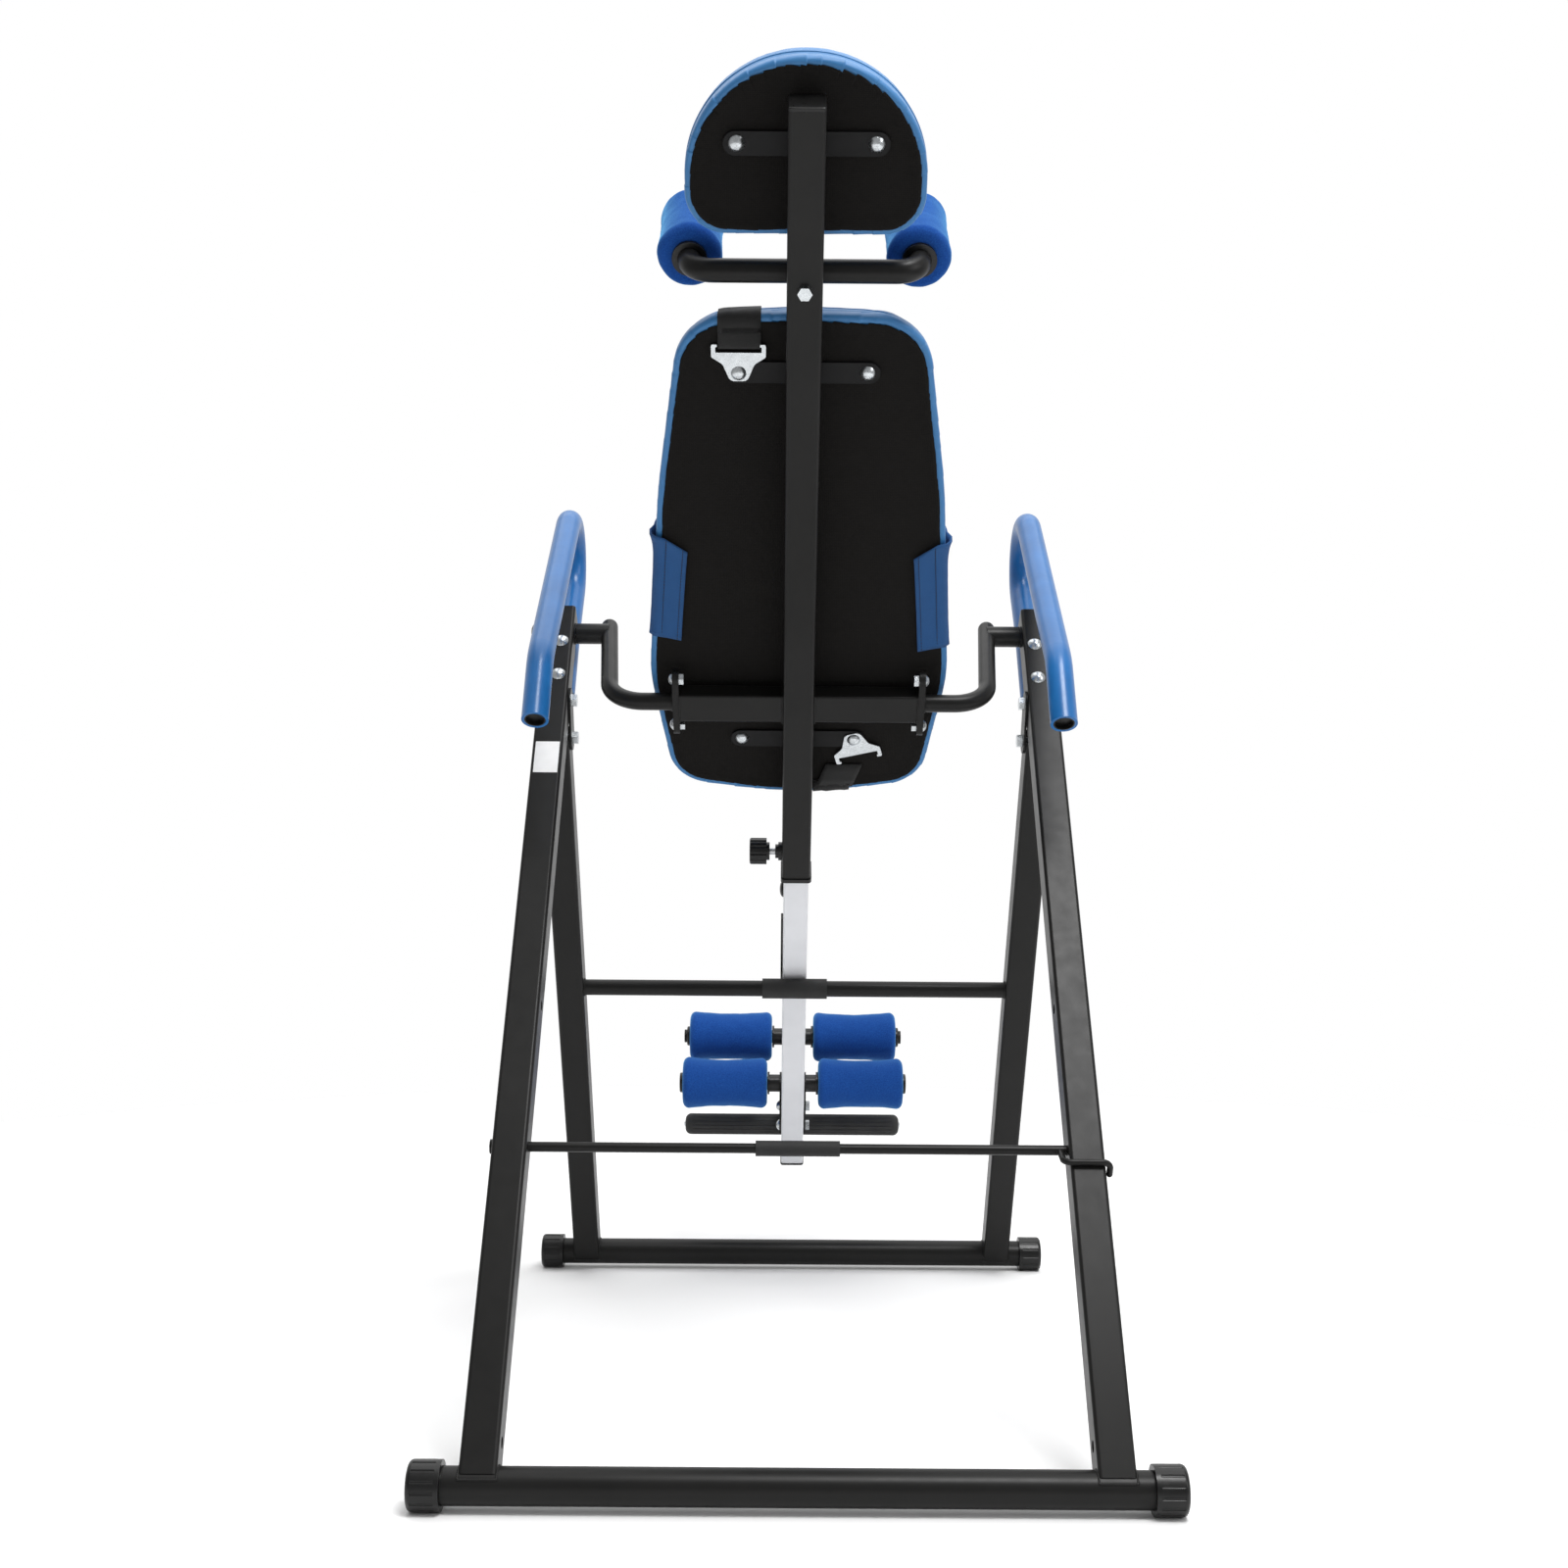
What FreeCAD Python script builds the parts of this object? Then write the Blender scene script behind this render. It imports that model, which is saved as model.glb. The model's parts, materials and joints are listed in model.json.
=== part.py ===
import FreeCAD, Part
import math
import os

from FreeCAD import Placement, Rotation, Vector

# Folding inversion table.  Frame: +Z up, +Y towards the side the user stands on, +X to the
# right when seen from behind.  While it is built, Y = 0 is the rear base tube and Z = 0 the
# floor; at the end the model is moved so its origin is the bottom centre of its box.

DIMENSIONS = {
    # stand
    "base_spread": 1050, "base_length": 763, "base_radius": 19, "base_wall": 1.6,
    "foot_radius": 25, "foot_length": 33, "foot_drop": 24.5, "flute_radius": 2,
    "flute_number": 14, "foot_round": 5, "leg_width": 38, "leg_wall": 1.6, "leg_corner": 4,
    "leg_track": 312.5,
    "leg_above_pivot": 30, "leg_clear_of_base": 6, "pivot_forward": 635, "pivot_height": 928,
    "fold_ahead": 43, "fold_below": 140, "fold_overhang": 7, "fold_pin_radius": 5,
    "bracket_plate": 3, "bracket_bolt_below": 113, "bracket_end_radius": 16,
    "crossbar_radius": 11, "crossbar_back": 6, "crossbar_sleeve_radius": 14,
    "crossbar_sleeve_length": 90, "stop_below_pivot": 740, "stop_rod_radius": 5.5,
    "stop_sleeve_radius": 8.5, "stop_sleeve_length": 92, "spare_hole_upper": 563,
    "spare_hole_lower": 1062, "spare_hole_radius": 6, "hook_wire_radius": 3.5,
    "label_width": 30, "label_height": 48, "label_below": 219, "label_thickness": 0.4,
    "foot_end_wall": 3, "plug_lip": 3, "plug_depth": 12, "stop_rod_head": 8,
    "stop_rod_past_left": 4, "stop_rod_past_right": -1, "catch_drop": 25, "catch_tip_drop": 32,
    "catch_tip_back": 14, "catch_bend": 8, "bolt_rise": 5, "small_head_radius": 8,
    "pad_head_radius": 8.5, "handle_head_radius": 9.5, "bolt_nut": 13, "bolt_nut_height": 6,
    "cross_head_radius": 10.5, "cross_nut": 15, "cross_nut_height": 7,
    # handles
    "handle_radius": 12.5, "handle_wall": 1.5, "grip_radius": 16, "handle_ahead": 37,
    "handle_track": 308, "handle_foot_below": 100, "grip_end_below": 75,
    "handle_bolt_upper": 28, "handle_bolt_lower": 84, "handle_loop_radius": 54,
    "handle_loop_forward": 65.5, "handle_loop_above": 103, "handle_rise": 46.5,
    "handle_fall": 36, "handle_bend_back": 242, "handle_bend_below": 53.4,
    "handle_end_back": 289, "handle_end_below": 131.5, "handle_foot_bend": 90,
    "handle_end_bend": 80, "handle_plug_recess": 14, "handle_plug_depth": 9,
    "spacer_radius": 7, "bolt_radius": 4,
    # bed
    "bed_angle": 41, "spine_width": 38, "spine_wall": 1.5, "spine_behind": 168,
    "spine_top": 753, "spine_bottom": 264, "boom_width": 33.4, "boom_wall": 2,
    "boom_corner": 3, "boom_top": 60, "boom_bottom": 858, "cross_width": 25, "cross_wall": 1.6,
    "cross_height": 40, "cross_corner": 3, "cross_up": 13.5, "flange_at": 148, "flange_plate": 4, "flange_up": 16,
    "flange_length": 94, "flange_width": 24.5, "flange_bolt_spacing": 69.5,
    "crank_radius": 11, "crank_wall": 2, "crank_track": 248, "crank_foot_track": 235,
    "crank_bend": 45, "crank_past_pivot": 18, "stub_radius": 13.5, "stub_end": 291, "axle_radius": 8,
    "bush_radius": 11, "bush_flange_radius": 14, "bush_flange": 2, "axle_end": 340,
    "bar_length": 170, "bar_width": 25, "bar_thickness": 4, "pad_bolt_spacing": 142,
    "head_bar_up": 707, "upper_bar_up": 454, "lower_bar_down": 56,
    "board_thickness": 9, "cushion_thickness": 43, "cushion_edge": 17, "board_inset": 4,
    "hook_plate": 2, "shoulder_up": 566, "shoulder_radius": 12.7, "shoulder_wall": 1.6,
    "shoulder_behind": 136, "shoulder_track": 124, "shoulder_bend": 26, "shoulder_reach": 4,
    "shoulder_foam_radius": 36, "shoulder_foam_start": 104, "collar_radius": 19,
    "strap_width": 47, "strap_thickness": 1.8, "lumbar_low": 95, "lumbar_high": 245,
    "lumbar_half": 150, "lumbar_thickness": 28, "lumbar_edge": 11, "band_thickness": 2.4,
    "band_above_low": 8, "band_below_high": 14, "flap_width": 36, "spine_cap": 4,
    "spine_cap_depth": 14, "collar_height": 6, "collar_margin": 3, "pivot_cap_radius": 13,
    "pivot_cap_length": 16.6, "bar_nut": 14, "bar_nut_height": 7,
    # height setting
    "knob_down": 231, "knob_radius": 17.5, "knob_length": 22.5, "knob_standoff": 20.5,
    "knob_hub": 4, "knob_hub_radius": 12, "boss_radius": 9.3, "boss_length": 9,
    "boss_foot": 5, "pin_radius": 4.5,
    "pin_in_knob": 8, "knob_flutes": 12, "knob_flute_radius": 2.6, "hole_pitch": 25,
    "hole_number": 7, "button_down": 299, "button_radius": 11, "button_rise": 5,
    "strip_top": 350, "strip_bottom": 490, "strip_width": 12, "strip_thickness": 3,
    # ankle end
    "ankle_down": 725, "ankle_behind": 139, "ankle_axle_radius": 10, "ankle_axle_half": 168,
    "ankle_axle_wall": 1.6, "roller_radius": 38.5, "roller_length": 127, "rear_gap": 77,
    "front_gap": 64, "front_axle_down": 735, "front_axle_behind": 34, "slide_down": 765,
    "slide_width": 20, "slide_wall": 1.5, "housing_width": 25, "housing_wall": 2,
    "housing_front": 85, "ankle_pin_behind": 104, "ankle_pin_radius": 2.75,
    "ankle_hole_pitch": 10, "bracket_bolt_upper": 743, "bracket_bolt_lower": 787,
    "footrest_down": 829.5, "footrest_behind": 131, "footrest_radius": 16,
    "footrest_half": 165, "footrest_end": 9, "footrest_ribs": 16, "footrest_rib_radius": 1.3,
    "axle_cap_radius": 15, "axle_cap_proud": 2.5, "ankle_boss_radius": 6,
    "ankle_boss_length": 7.5, "slide_rear": 180, "slide_front_past": 14, "post_width": 20,
    "post_depth": 24,
    # fits
    "running_gap": 0.05, "moving_gap": 0.3,
}

doc = FreeCAD.newDocument("InversionTable")
sheet = doc.addObject("Spreadsheet::Sheet", "Dimensions")
for row, (alias, number) in enumerate(DIMENSIONS.items(), start=1):
    sheet.set("A%d" % row, alias)
    sheet.set("B%d" % row, str(number))
    sheet.setAlias("B%d" % row, alias)
doc.recompute()


def size(alias):
    return float(getattr(sheet, alias))


PIVOT = Vector(0, size("pivot_forward"), size("pivot_height"))
LEG_RUN = size("pivot_forward")
LEG_RISE = size("pivot_height") - size("foot_drop")
LEG_LENGTH = math.hypot(LEG_RUN, LEG_RISE)
LEG_ANGLE = math.degrees(math.atan2(LEG_RUN, LEG_RISE))

# Three working frames, all with X across the machine.  In each, local Z runs up the member
# and local Y points forward, towards the user.
REAR_LEG = Placement(PIVOT, Rotation(Vector(1, 0, 0), -LEG_ANGLE))
BED = Placement(PIVOT, Rotation(Vector(1, 0, 0), size("bed_angle")))
FOLD_PIN = REAR_LEG.multVec(Vector(0, size("fold_ahead"), -size("fold_below")))
FRONT_BASE = Vector(0, size("base_spread"), size("foot_drop"))
FRONT_ANGLE = math.degrees(math.atan2(FRONT_BASE.y - FOLD_PIN.y, FOLD_PIN.z - FRONT_BASE.z))
FRONT_LEG = Placement(FOLD_PIN, Rotation(Vector(1, 0, 0), FRONT_ANGLE))
FRONT_LENGTH = (FRONT_BASE - FOLD_PIN).Length

SPINE_N = -size("spine_behind")
SPINE_FRONT = SPINE_N + size("spine_width") / 2
SPINE_REAR = SPINE_N - size("spine_width") / 2
BOOM_HALF = size("boom_width") / 2
BAR_FRONT = SPINE_FRONT + size("bar_thickness")
BOARD_FRONT = BAR_FRONT + size("board_thickness")
CUSHION_FRONT = BOARD_FRONT + size("cushion_thickness")
RUNNING = size("running_gap")
MOVING = size("moving_gap")
X_AXIS, Y_AXIS, Z_AXIS = Vector(1, 0, 0), Vector(0, 1, 0), Vector(0, 0, 1)
SIDES = (("left", -1), ("right", 1))

PARTS = []


# ------------------------------------------------------------------------ building helpers
def keep(obj, label, frame=None):
    """Names a finished sub-part and stands it in its working frame."""
    obj.Label = label
    if frame is not None:
        obj.Placement = frame.multiply(obj.Placement)
    PARTS.append(obj)
    return obj


def feature(label, shape, frame=None):
    """A sub-part whose form needs Part's own functions; its sizes come from the sheet."""
    obj = doc.addObject("Part::Feature", label + "_form")
    obj.Shape = shape
    return keep(obj, label, frame)


def along(direction):
    return Rotation(Z_AXIS, direction)


def unit(vector):
    return vector * (1.0 / vector.Length)


def cylinder(name, radius, height, start, direction):
    """A Part::Cylinder whose radius and height follow spreadsheet expressions."""
    obj = doc.addObject("Part::Cylinder", name)
    obj.setExpression("Radius", radius)
    obj.setExpression("Height", height)
    obj.Placement = Placement(start, along(direction))
    return obj


def cut(name, base, tools):
    obj = doc.addObject("Part::Cut", name)
    obj.Base = base
    obj.Tool = fuse(name + "_tools", tools) if len(tools) > 1 else tools[0]
    return obj


def fuse(name, pieces):
    obj = doc.addObject("Part::MultiFuse", name)
    obj.Shapes = pieces
    return obj


def group(name, pieces):
    """Separate solids that share one sub-part, such as a pair of plates."""
    obj = doc.addObject("Part::Compound", name)
    obj.Links = pieces
    return obj


def plane_of(body, role):
    return next(item for item in body.Origin.OriginFeatures if item.Role == role)


def padded(name, plane, outline, length, reverse=False):
    """PartDesign body padded from sketch geometry; length follows the sheet."""
    body = doc.addObject("PartDesign::Body", name)
    sketch = body.newObject("Sketcher::SketchObject", name + "_sketch")
    sketch.AttachmentSupport = [(plane_of(body, plane), "")]
    sketch.MapMode = "FlatFace"
    for item in outline:
        sketch.addGeometry(item, False)
    pad = body.newObject("PartDesign::Pad", name + "_pad")
    pad.Profile = sketch
    pad.setExpression("Length", length)
    pad.Reversed = reverse
    body.Tip = pad
    return body


def rounded(points):
    """Closed outline with round corners; each point is (x, y, corner radius)."""
    trims = []
    count = len(points)
    for i, (x, y, radius) in enumerate(points):
        here = Vector(x, y, 0)
        before = unit(Vector(points[i - 1][0], points[i - 1][1], 0) - here)
        after = unit(Vector(points[(i + 1) % count][0], points[(i + 1) % count][1], 0) - here)
        half = before.getAngle(after) / 2
        reach = radius / math.tan(half)
        middle = here + unit(before + after) * (radius / math.sin(half) - radius)
        trims.append((here + before * reach, middle, here + after * reach))
    pieces = []
    for i in range(count):
        pieces.append(Part.Arc(*trims[i]))
        pieces.append(Part.LineSegment(trims[i][2], trims[(i + 1) % count][0]))
    return pieces


def rectangle(x, y, width, height, corner):
    """Closed outline of a rectangle about (x, y) with round corners."""
    return rounded([(x + width / 2, y + height / 2, corner), (x - width / 2, y + height / 2, corner),
                    (x - width / 2, y - height / 2, corner), (x + width / 2, y - height / 2, corner)])


def square(width, corner):
    return rectangle(0, 0, width, width, corner)


def stadium(a, b, radius):
    """Outline that hugs two points at one radius."""
    a, b = Vector(a[0], a[1], 0), Vector(b[0], b[1], 0)
    ahead = unit(b - a) * radius
    side = Vector(-ahead.y, ahead.x, 0)
    return [Part.LineSegment(a - side, b - side), Part.Arc(b - side, b + ahead, b + side),
            Part.LineSegment(b + side, a + side), Part.Arc(a + side, a - ahead, a - side)]


def circle(x, y, radius):
    return Part.Circle(Vector(x, y, 0), Z_AXIS, radius)


def face_of(outline):
    return Part.Face(Part.Wire([item.toShape() for item in outline]))


def tube_along_z(name, width, corner, wall, length):
    """PartDesign square tube padded up local Z."""
    outer = square(size(width), size(corner))
    inner = square(size(width) - 2 * size(wall), max(size(corner) - size(wall), 0.5))
    return padded(name, "XY_Plane", outer + inner, length)


def route(points, radii):
    """Edges of straight runs joined by tangent arcs; radii belong to the inner points."""
    edges = []
    last = points[0]
    for before, here, after, radius in zip(points, points[1:], points[2:], radii):
        back = unit(before - here)
        ahead = unit(after - here)
        half = back.getAngle(ahead) / 2
        reach = radius / math.tan(half)
        middle = here + unit(back + ahead) * (radius / math.sin(half) - radius)
        start, end = here + back * reach, here + ahead * reach
        edges += [Part.makeLine(last, start), Part.Arc(start, middle, end).toShape()]
        last = end
    return edges + [Part.makeLine(last, points[-1])]


def pipe(edges, radius):
    """A round bar along tangent runs and arcs."""
    wire = Part.Wire(edges)
    first = wire.OrderedEdges[0]
    start = wire.OrderedVertexes[0].Point
    tangent = first.tangentAt(first.FirstParameter)
    section = Part.Wire(Part.makeCircle(radius, start, tangent))
    return wire.makePipeShell([section], True, False)


def rod(radius, x0, x1, n, u):
    """A round solid across the machine, from x0 to x1."""
    return Part.makeCylinder(radius, abs(x1 - x0), Vector(min(x0, x1), n, u), X_AXIS)


def ring(outer, inner, x0, x1, n, u):
    return rod(outer, x0, x1, n, u).cut(rod(inner, x0, x1, n, u))


def headed_pin(start, end, radius, head_radius, rise):
    """A round shank from start to end with a shallow domed head behind start."""
    direction = unit(end - start)
    ball = (head_radius * head_radius + rise * rise) / (2 * rise)
    lean = math.asin(head_radius / ball) / 2
    bulge = Vector(ball * math.sin(lean), 0, ball - rise - ball * math.cos(lean))
    crown, brim = Vector(0, 0, -rise), Vector(head_radius, 0, 0)
    shank, tip = Vector(radius, 0, 0), Vector(radius, 0, (end - start).Length)
    corners = [brim, shank, tip, Vector(0, 0, tip.z), crown]
    edges = [Part.Arc(crown, bulge, brim).toShape()]
    edges += [Part.makeLine(p, q) for p, q in zip(corners, corners[1:])]
    pin = Part.Face(Part.Wire(edges)).revolve(Vector(), Z_AXIS, 360)
    pin.Placement = Placement(start, along(direction))
    return pin


def nut(across, thickness, base, direction):
    """A hexagonal nut or head standing on base."""
    corner = across / math.sqrt(3)
    turns = [math.radians(60 * i) for i in range(7)]
    points = [Vector(corner * math.cos(t), corner * math.sin(t), 0) for t in turns]
    prism = Part.Face(Part.makePolygon(points)).extrude(Z_AXIS * thickness)
    prism.Placement = Placement(base, along(direction))
    return prism


def bolt(start, end, head, nutted=True):
    """Domed head of a named radius at start, shank of the common bolt radius, nut at end."""
    pin = headed_pin(start, end, size("bolt_radius"), size(head), size("bolt_rise"))
    if nutted:
        pin = pin.fuse(nut(size("bolt_nut"), size("bolt_nut_height"), end, unit(end - start)))
    return pin


def revolved(profile, base, direction):
    """Turns a closed (radius, height) profile about Z, then stands it along direction."""
    points = [Vector(r, 0, h) for r, h in profile]
    solid = Part.Face(Part.makePolygon(points + points[:1])).revolve(Vector(), Z_AXIS, 360)
    solid.Placement = Placement(base, along(direction))
    return solid


def sharp_edges(shape, at, normal):
    """Edges that lie in the plane through at with the given normal."""
    found = []
    for edge in shape.Edges:
        ends = [v.Point for v in edge.Vertexes] + [edge.valueAt(
            (edge.FirstParameter + edge.LastParameter) / 2)]
        if all(abs((p - at).dot(normal)) < 1e-4 for p in ends):
            found.append(edge)
    return found


# ---------------------------------------------------------------- stand: tubes and foot caps
def base_tube(prefix, forward):
    """Round base tube across the machine; its ends sit inside the foot caps."""
    start = Vector(size("foot_end_wall") - size("base_length") / 2, forward, size("foot_drop"))
    length = "Dimensions.base_length - 2 * Dimensions.foot_end_wall"
    outer = cylinder(prefix + "_base_outer", "Dimensions.base_radius", length, start, X_AXIS)
    bore = "Dimensions.base_radius - Dimensions.base_wall"
    inner = cylinder(prefix + "_base_bore", bore, length, start, X_AXIS)
    keep(cut(prefix + "_base", outer, [inner]), prefix + "_base_tube")


def foot_cap(side, forward):
    """Fluted end cap with a flat sole; it sleeves over one end of a base tube."""
    radius, length = size("foot_radius"), size("foot_length")
    cap = Part.makeCylinder(radius, length)
    wall = size("foot_end_wall")
    cap = cap.makeFillet(size("foot_round"), sharp_edges(cap, Vector(0, 0, length), Z_AXIS))
    count = int(size("flute_number"))
    for i in range(count):
        turn = math.radians(360 * (i + 0.5) / count)
        at = Vector(math.cos(turn), math.sin(turn), 0) * (radius + size("flute_radius") / 2)
        groove = Part.makeCylinder(size("flute_radius"), length * 0.7, at + Z_AXIS * length * 0.15)
        cap = cap.cut(groove)
    cap = cap.cut(Part.makeCylinder(size("base_radius"), length - wall))
    inner_end = Vector(side * (size("base_length") / 2 - length), forward, size("foot_drop"))
    cap.Placement = Placement(inner_end, along(X_AXIS * side))
    below = Part.makeBox(size("base_length") + 20, 4 * radius, 40,
                         Vector(-size("base_length") / 2 - 10, forward - 2 * radius, -40))
    return cap.cut(below)


def foot_caps(label, forward):
    feature(label, Part.makeCompound([foot_cap(side, forward) for _, side in SIDES]))


base_tube("rear", 0)
base_tube("front", size("base_spread"))
foot_caps("rear_foot_caps", 0)
foot_caps("front_foot_caps", size("base_spread"))


# --------------------------------------------------------------------------- handle tubes
def in_side_plane(forward, height):
    return Vector(0, forward, height)


def handle_path(foot_below):
    """Centre line of a handle in the plane of its leg, from the foot to the rear end."""
    ahead = size("handle_ahead")
    foot = REAR_LEG.multVec(Vector(0, ahead, -foot_below))
    leg_line = REAR_LEG.Rotation.multVec(Z_AXIS)
    loop = PIVOT + in_side_plane(size("handle_loop_forward"), size("handle_loop_above"))
    radius = size("handle_loop_radius")
    rise, fall = math.radians(size("handle_rise")), math.radians(size("handle_fall"))
    up = in_side_plane(math.cos(rise), math.sin(rise))
    down = in_side_plane(-math.cos(fall), -math.sin(fall))
    first = loop + in_side_plane(math.sin(rise), -math.cos(rise)) * radius
    last = loop + in_side_plane(-math.sin(fall), math.cos(fall)) * radius
    apex = loop + unit((first - loop) + (last - loop) + in_side_plane(0.2, 1.0) * radius) * radius
    gap = first - foot
    turn = leg_line.y * up.z - leg_line.z * up.y
    corner = foot + leg_line * ((gap.y * up.z - gap.z * up.y) / turn)
    bend = last + down * ((size("handle_bend_back") - (PIVOT - last).y) / math.cos(fall))
    end = PIVOT - in_side_plane(size("handle_end_back"), size("handle_end_below"))
    loop_edge = Part.Arc(first, apex, last).toShape()
    rising = route([foot, corner, first], [size("handle_foot_bend")])
    return rising + [loop_edge] + route([last, bend, end], [size("handle_end_bend")])


def shifted(shape, x):
    moved = shape.copy()
    moved.translate(Vector(x, 0, 0))
    return moved


HANDLE_EDGES = handle_path(size("handle_foot_below"))
GRIP_EDGES = handle_path(size("grip_end_below"))
HANDLE_END = HANDLE_EDGES[-1].Vertexes[-1].Point
HANDLE_END_LINE = unit(HANDLE_END - HANDLE_EDGES[-1].Vertexes[0].Point)
HANDLE_SOLID = pipe(HANDLE_EDGES, size("handle_radius"))
HANDLE_BORE = pipe(HANDLE_EDGES, size("handle_radius") - size("handle_wall"))
GRIP_SOLID = pipe(GRIP_EDGES, size("grip_radius"))
HANDLE_BOLTS = (size("handle_bolt_upper"), size("handle_bolt_lower"))


def leg_y(radius, x, y0, y1, z):
    """A round solid through a rear leg from back to front, in the model frame."""
    solid = Part.makeCylinder(radius, y1 - y0, Vector(x, y0, z), Y_AXIS)
    solid.Placement = REAR_LEG.multiply(solid.Placement)
    return solid


def handle(side_name, side):
    x = side * size("handle_track")
    half = size("leg_width") / 2
    tube = shifted(HANDLE_SOLID.cut(HANDLE_BORE), x)
    grip = shifted(GRIP_SOLID.cut(HANDLE_SOLID), x)
    for below in HANDLE_BOLTS:
        tube = tube.cut(leg_y(size("bolt_radius"), x, half, size("handle_ahead"), -below))
        grip = grip.cut(leg_y(size("spacer_radius"), x, half, size("handle_ahead"), -below))
    feature("handle_tube_" + side_name, tube)
    feature("handle_grip_" + side_name, grip)


for side_name, side in SIDES:
    handle(side_name, side)


# -------------------------------------------------------------------------------- rear legs
def rear_leg(side_name, side):
    """Square leg with its pivot, stop bar, bracket, handle and spare holes."""
    name = "rear_leg_" + side_name
    length = "%f + Dimensions.leg_above_pivot - Dimensions.leg_clear_of_base" % LEG_LENGTH
    tube = tube_along_z(name + "_tube", "leg_width", "leg_corner", "leg_wall", length)
    x = side * size("leg_track")
    half = size("leg_width") / 2
    tube.Placement = Placement(Vector(x, 0, size("leg_clear_of_base") - LEG_LENGTH), Rotation())
    across = "Dimensions.leg_width + 20"
    outside = x - half - 10

    def through(label, radius, below):
        return cylinder(name + label, radius, across, Vector(outside, 0, -below), X_AXIS)

    tools = [
        through("_saddle", "Dimensions.base_radius", LEG_LENGTH),
        through("_pivot_hole", "Dimensions.bush_radius", 0),
        through("_bracket_hole", "Dimensions.fold_pin_radius", size("bracket_bolt_below")),
        through("_stop_hole", "Dimensions.stop_rod_radius + Dimensions.running_gap",
                size("stop_below_pivot")),
    ]
    inner = x - side * half
    for word, below in (("upper", "spare_hole_upper"), ("lower", "spare_hole_lower")):
        start = Vector(inner - side * 5, 0, -size(below))
        tools.append(cylinder("%s_spare_%s" % (name, word), "Dimensions.spare_hole_radius",
                              "Dimensions.leg_width / 2", start, X_AXIS * side))
    for word, below in zip(("upper", "lower"), HANDLE_BOLTS):
        start = Vector(side * size("handle_track"), -half - 10, -below)
        tools.append(cylinder("%s_handle_%s" % (name, word), "Dimensions.bolt_radius", across,
                              start, Y_AXIS))
    keep(cut(name + "_drilled", tube, tools), name, REAR_LEG)


def square_plug(x, y, z, width, wall, lip, depth, up=1):
    """Push-in end plug: a lip over the tube end and a block inside the tube."""
    top = face_of(square(width, 4)).extrude(Z_AXIS * lip * up)
    top = top.makeFillet(min(1.2, lip / 2), sharp_edges(top, Z_AXIS * lip * up, Z_AXIS))
    block = face_of(square(width - 2 * wall, 2.5)).extrude(Z_AXIS * -depth * up)
    plug = top.fuse(block).removeSplitter()
    plug.translate(Vector(x, y, z))
    return plug


def in_frame(shape, frame):
    placed = shape.copy()
    placed.Placement = frame.multiply(placed.Placement)
    return placed


for side_name, side in SIDES:
    rear_leg(side_name, side)

plugs = []
for _, side in SIDES:
    top = square_plug(side * size("leg_track"), 0, size("leg_above_pivot"), size("leg_width"),
                      size("leg_wall"), size("plug_lip"), size("plug_depth"))
    plugs.append(in_frame(top, REAR_LEG))
    recess = HANDLE_END - HANDLE_END_LINE * size("handle_plug_recess")
    disc = Part.makeCylinder(size("handle_radius") - size("handle_wall"),
                             size("handle_plug_depth"), recess, HANDLE_END_LINE)
    plugs.append(shifted(disc, side * size("handle_track")))
feature("stand_plugs", Part.makeCompound(plugs))


# ---------------------------------------------------------- fold brackets, bolts and label
def fold_bracket(side_name, side):
    """Two cheek plates that join the rear leg to the hinge pin of the front leg."""
    name = "fold_bracket_" + side_name
    bolt_at = (0, -size("bracket_bolt_below"))
    pin_at = (size("fold_ahead"), -size("fold_below"))
    radius = size("fold_pin_radius")
    outline = stadium(bolt_at, pin_at, size("bracket_end_radius"))
    outline += [circle(bolt_at[0], bolt_at[1], radius), circle(pin_at[0], pin_at[1], radius)]
    plates = []
    offset = size("leg_width") / 2 + MOVING
    for word, way in (("inner", -1), ("outer", 1)):
        plate = padded("%s_%s" % (name, word), "YZ_Plane", outline, "Dimensions.bracket_plate")
        start = way * offset - (size("bracket_plate") if way < 0 else 0)
        plate.Placement = Placement(Vector(side * size("leg_track") + start, 0, 0), Rotation())
        plates.append(plate)
    keep(group(name + "_pair", plates), name, REAR_LEG)


for side_name, side in SIDES:
    fold_bracket(side_name, side)


def cross_bolt(side, x_in, x_out, n, u, radius):
    """Bolt across a leg: domed head on the outer side, nut on the inner side."""
    head_at, nut_at = Vector(side * x_out, n, u), Vector(side * x_in, n, u)
    pin = headed_pin(head_at, nut_at, radius, size("cross_head_radius"), size("bolt_rise"))
    return pin.fuse(nut(size("cross_nut"), size("cross_nut_height"), nut_at, X_AXIS * -side))


fasteners = []
for _, side in SIDES:
    reach = size("leg_width") / 2 + MOVING + size("bracket_plate")
    x_in, x_out = size("leg_track") - reach, size("leg_track") + reach
    for n, u in ((0, -size("bracket_bolt_below")), (size("fold_ahead"), -size("fold_below"))):
        pin = cross_bolt(side, x_in, x_out, n, u, size("fold_pin_radius"))
        fasteners.append(in_frame(pin, REAR_LEG))
    x = side * size("handle_track")
    half = size("leg_width") / 2
    for below in HANDLE_BOLTS:
        screw = bolt(Vector(x, -half, -below), Vector(x, size("handle_ahead"), -below),
                     "handle_head_radius", nutted=False)
        fasteners.append(in_frame(screw, REAR_LEG))
        spacer = leg_y(size("spacer_radius"), x, half, size("handle_ahead"), -below)
        spacer = spacer.cut(leg_y(size("bolt_radius"), x, half, size("handle_ahead"), -below))
        fasteners.append(spacer.cut(shifted(HANDLE_SOLID, x)))
feature("stand_bolts", Part.makeCompound(fasteners))

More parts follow.
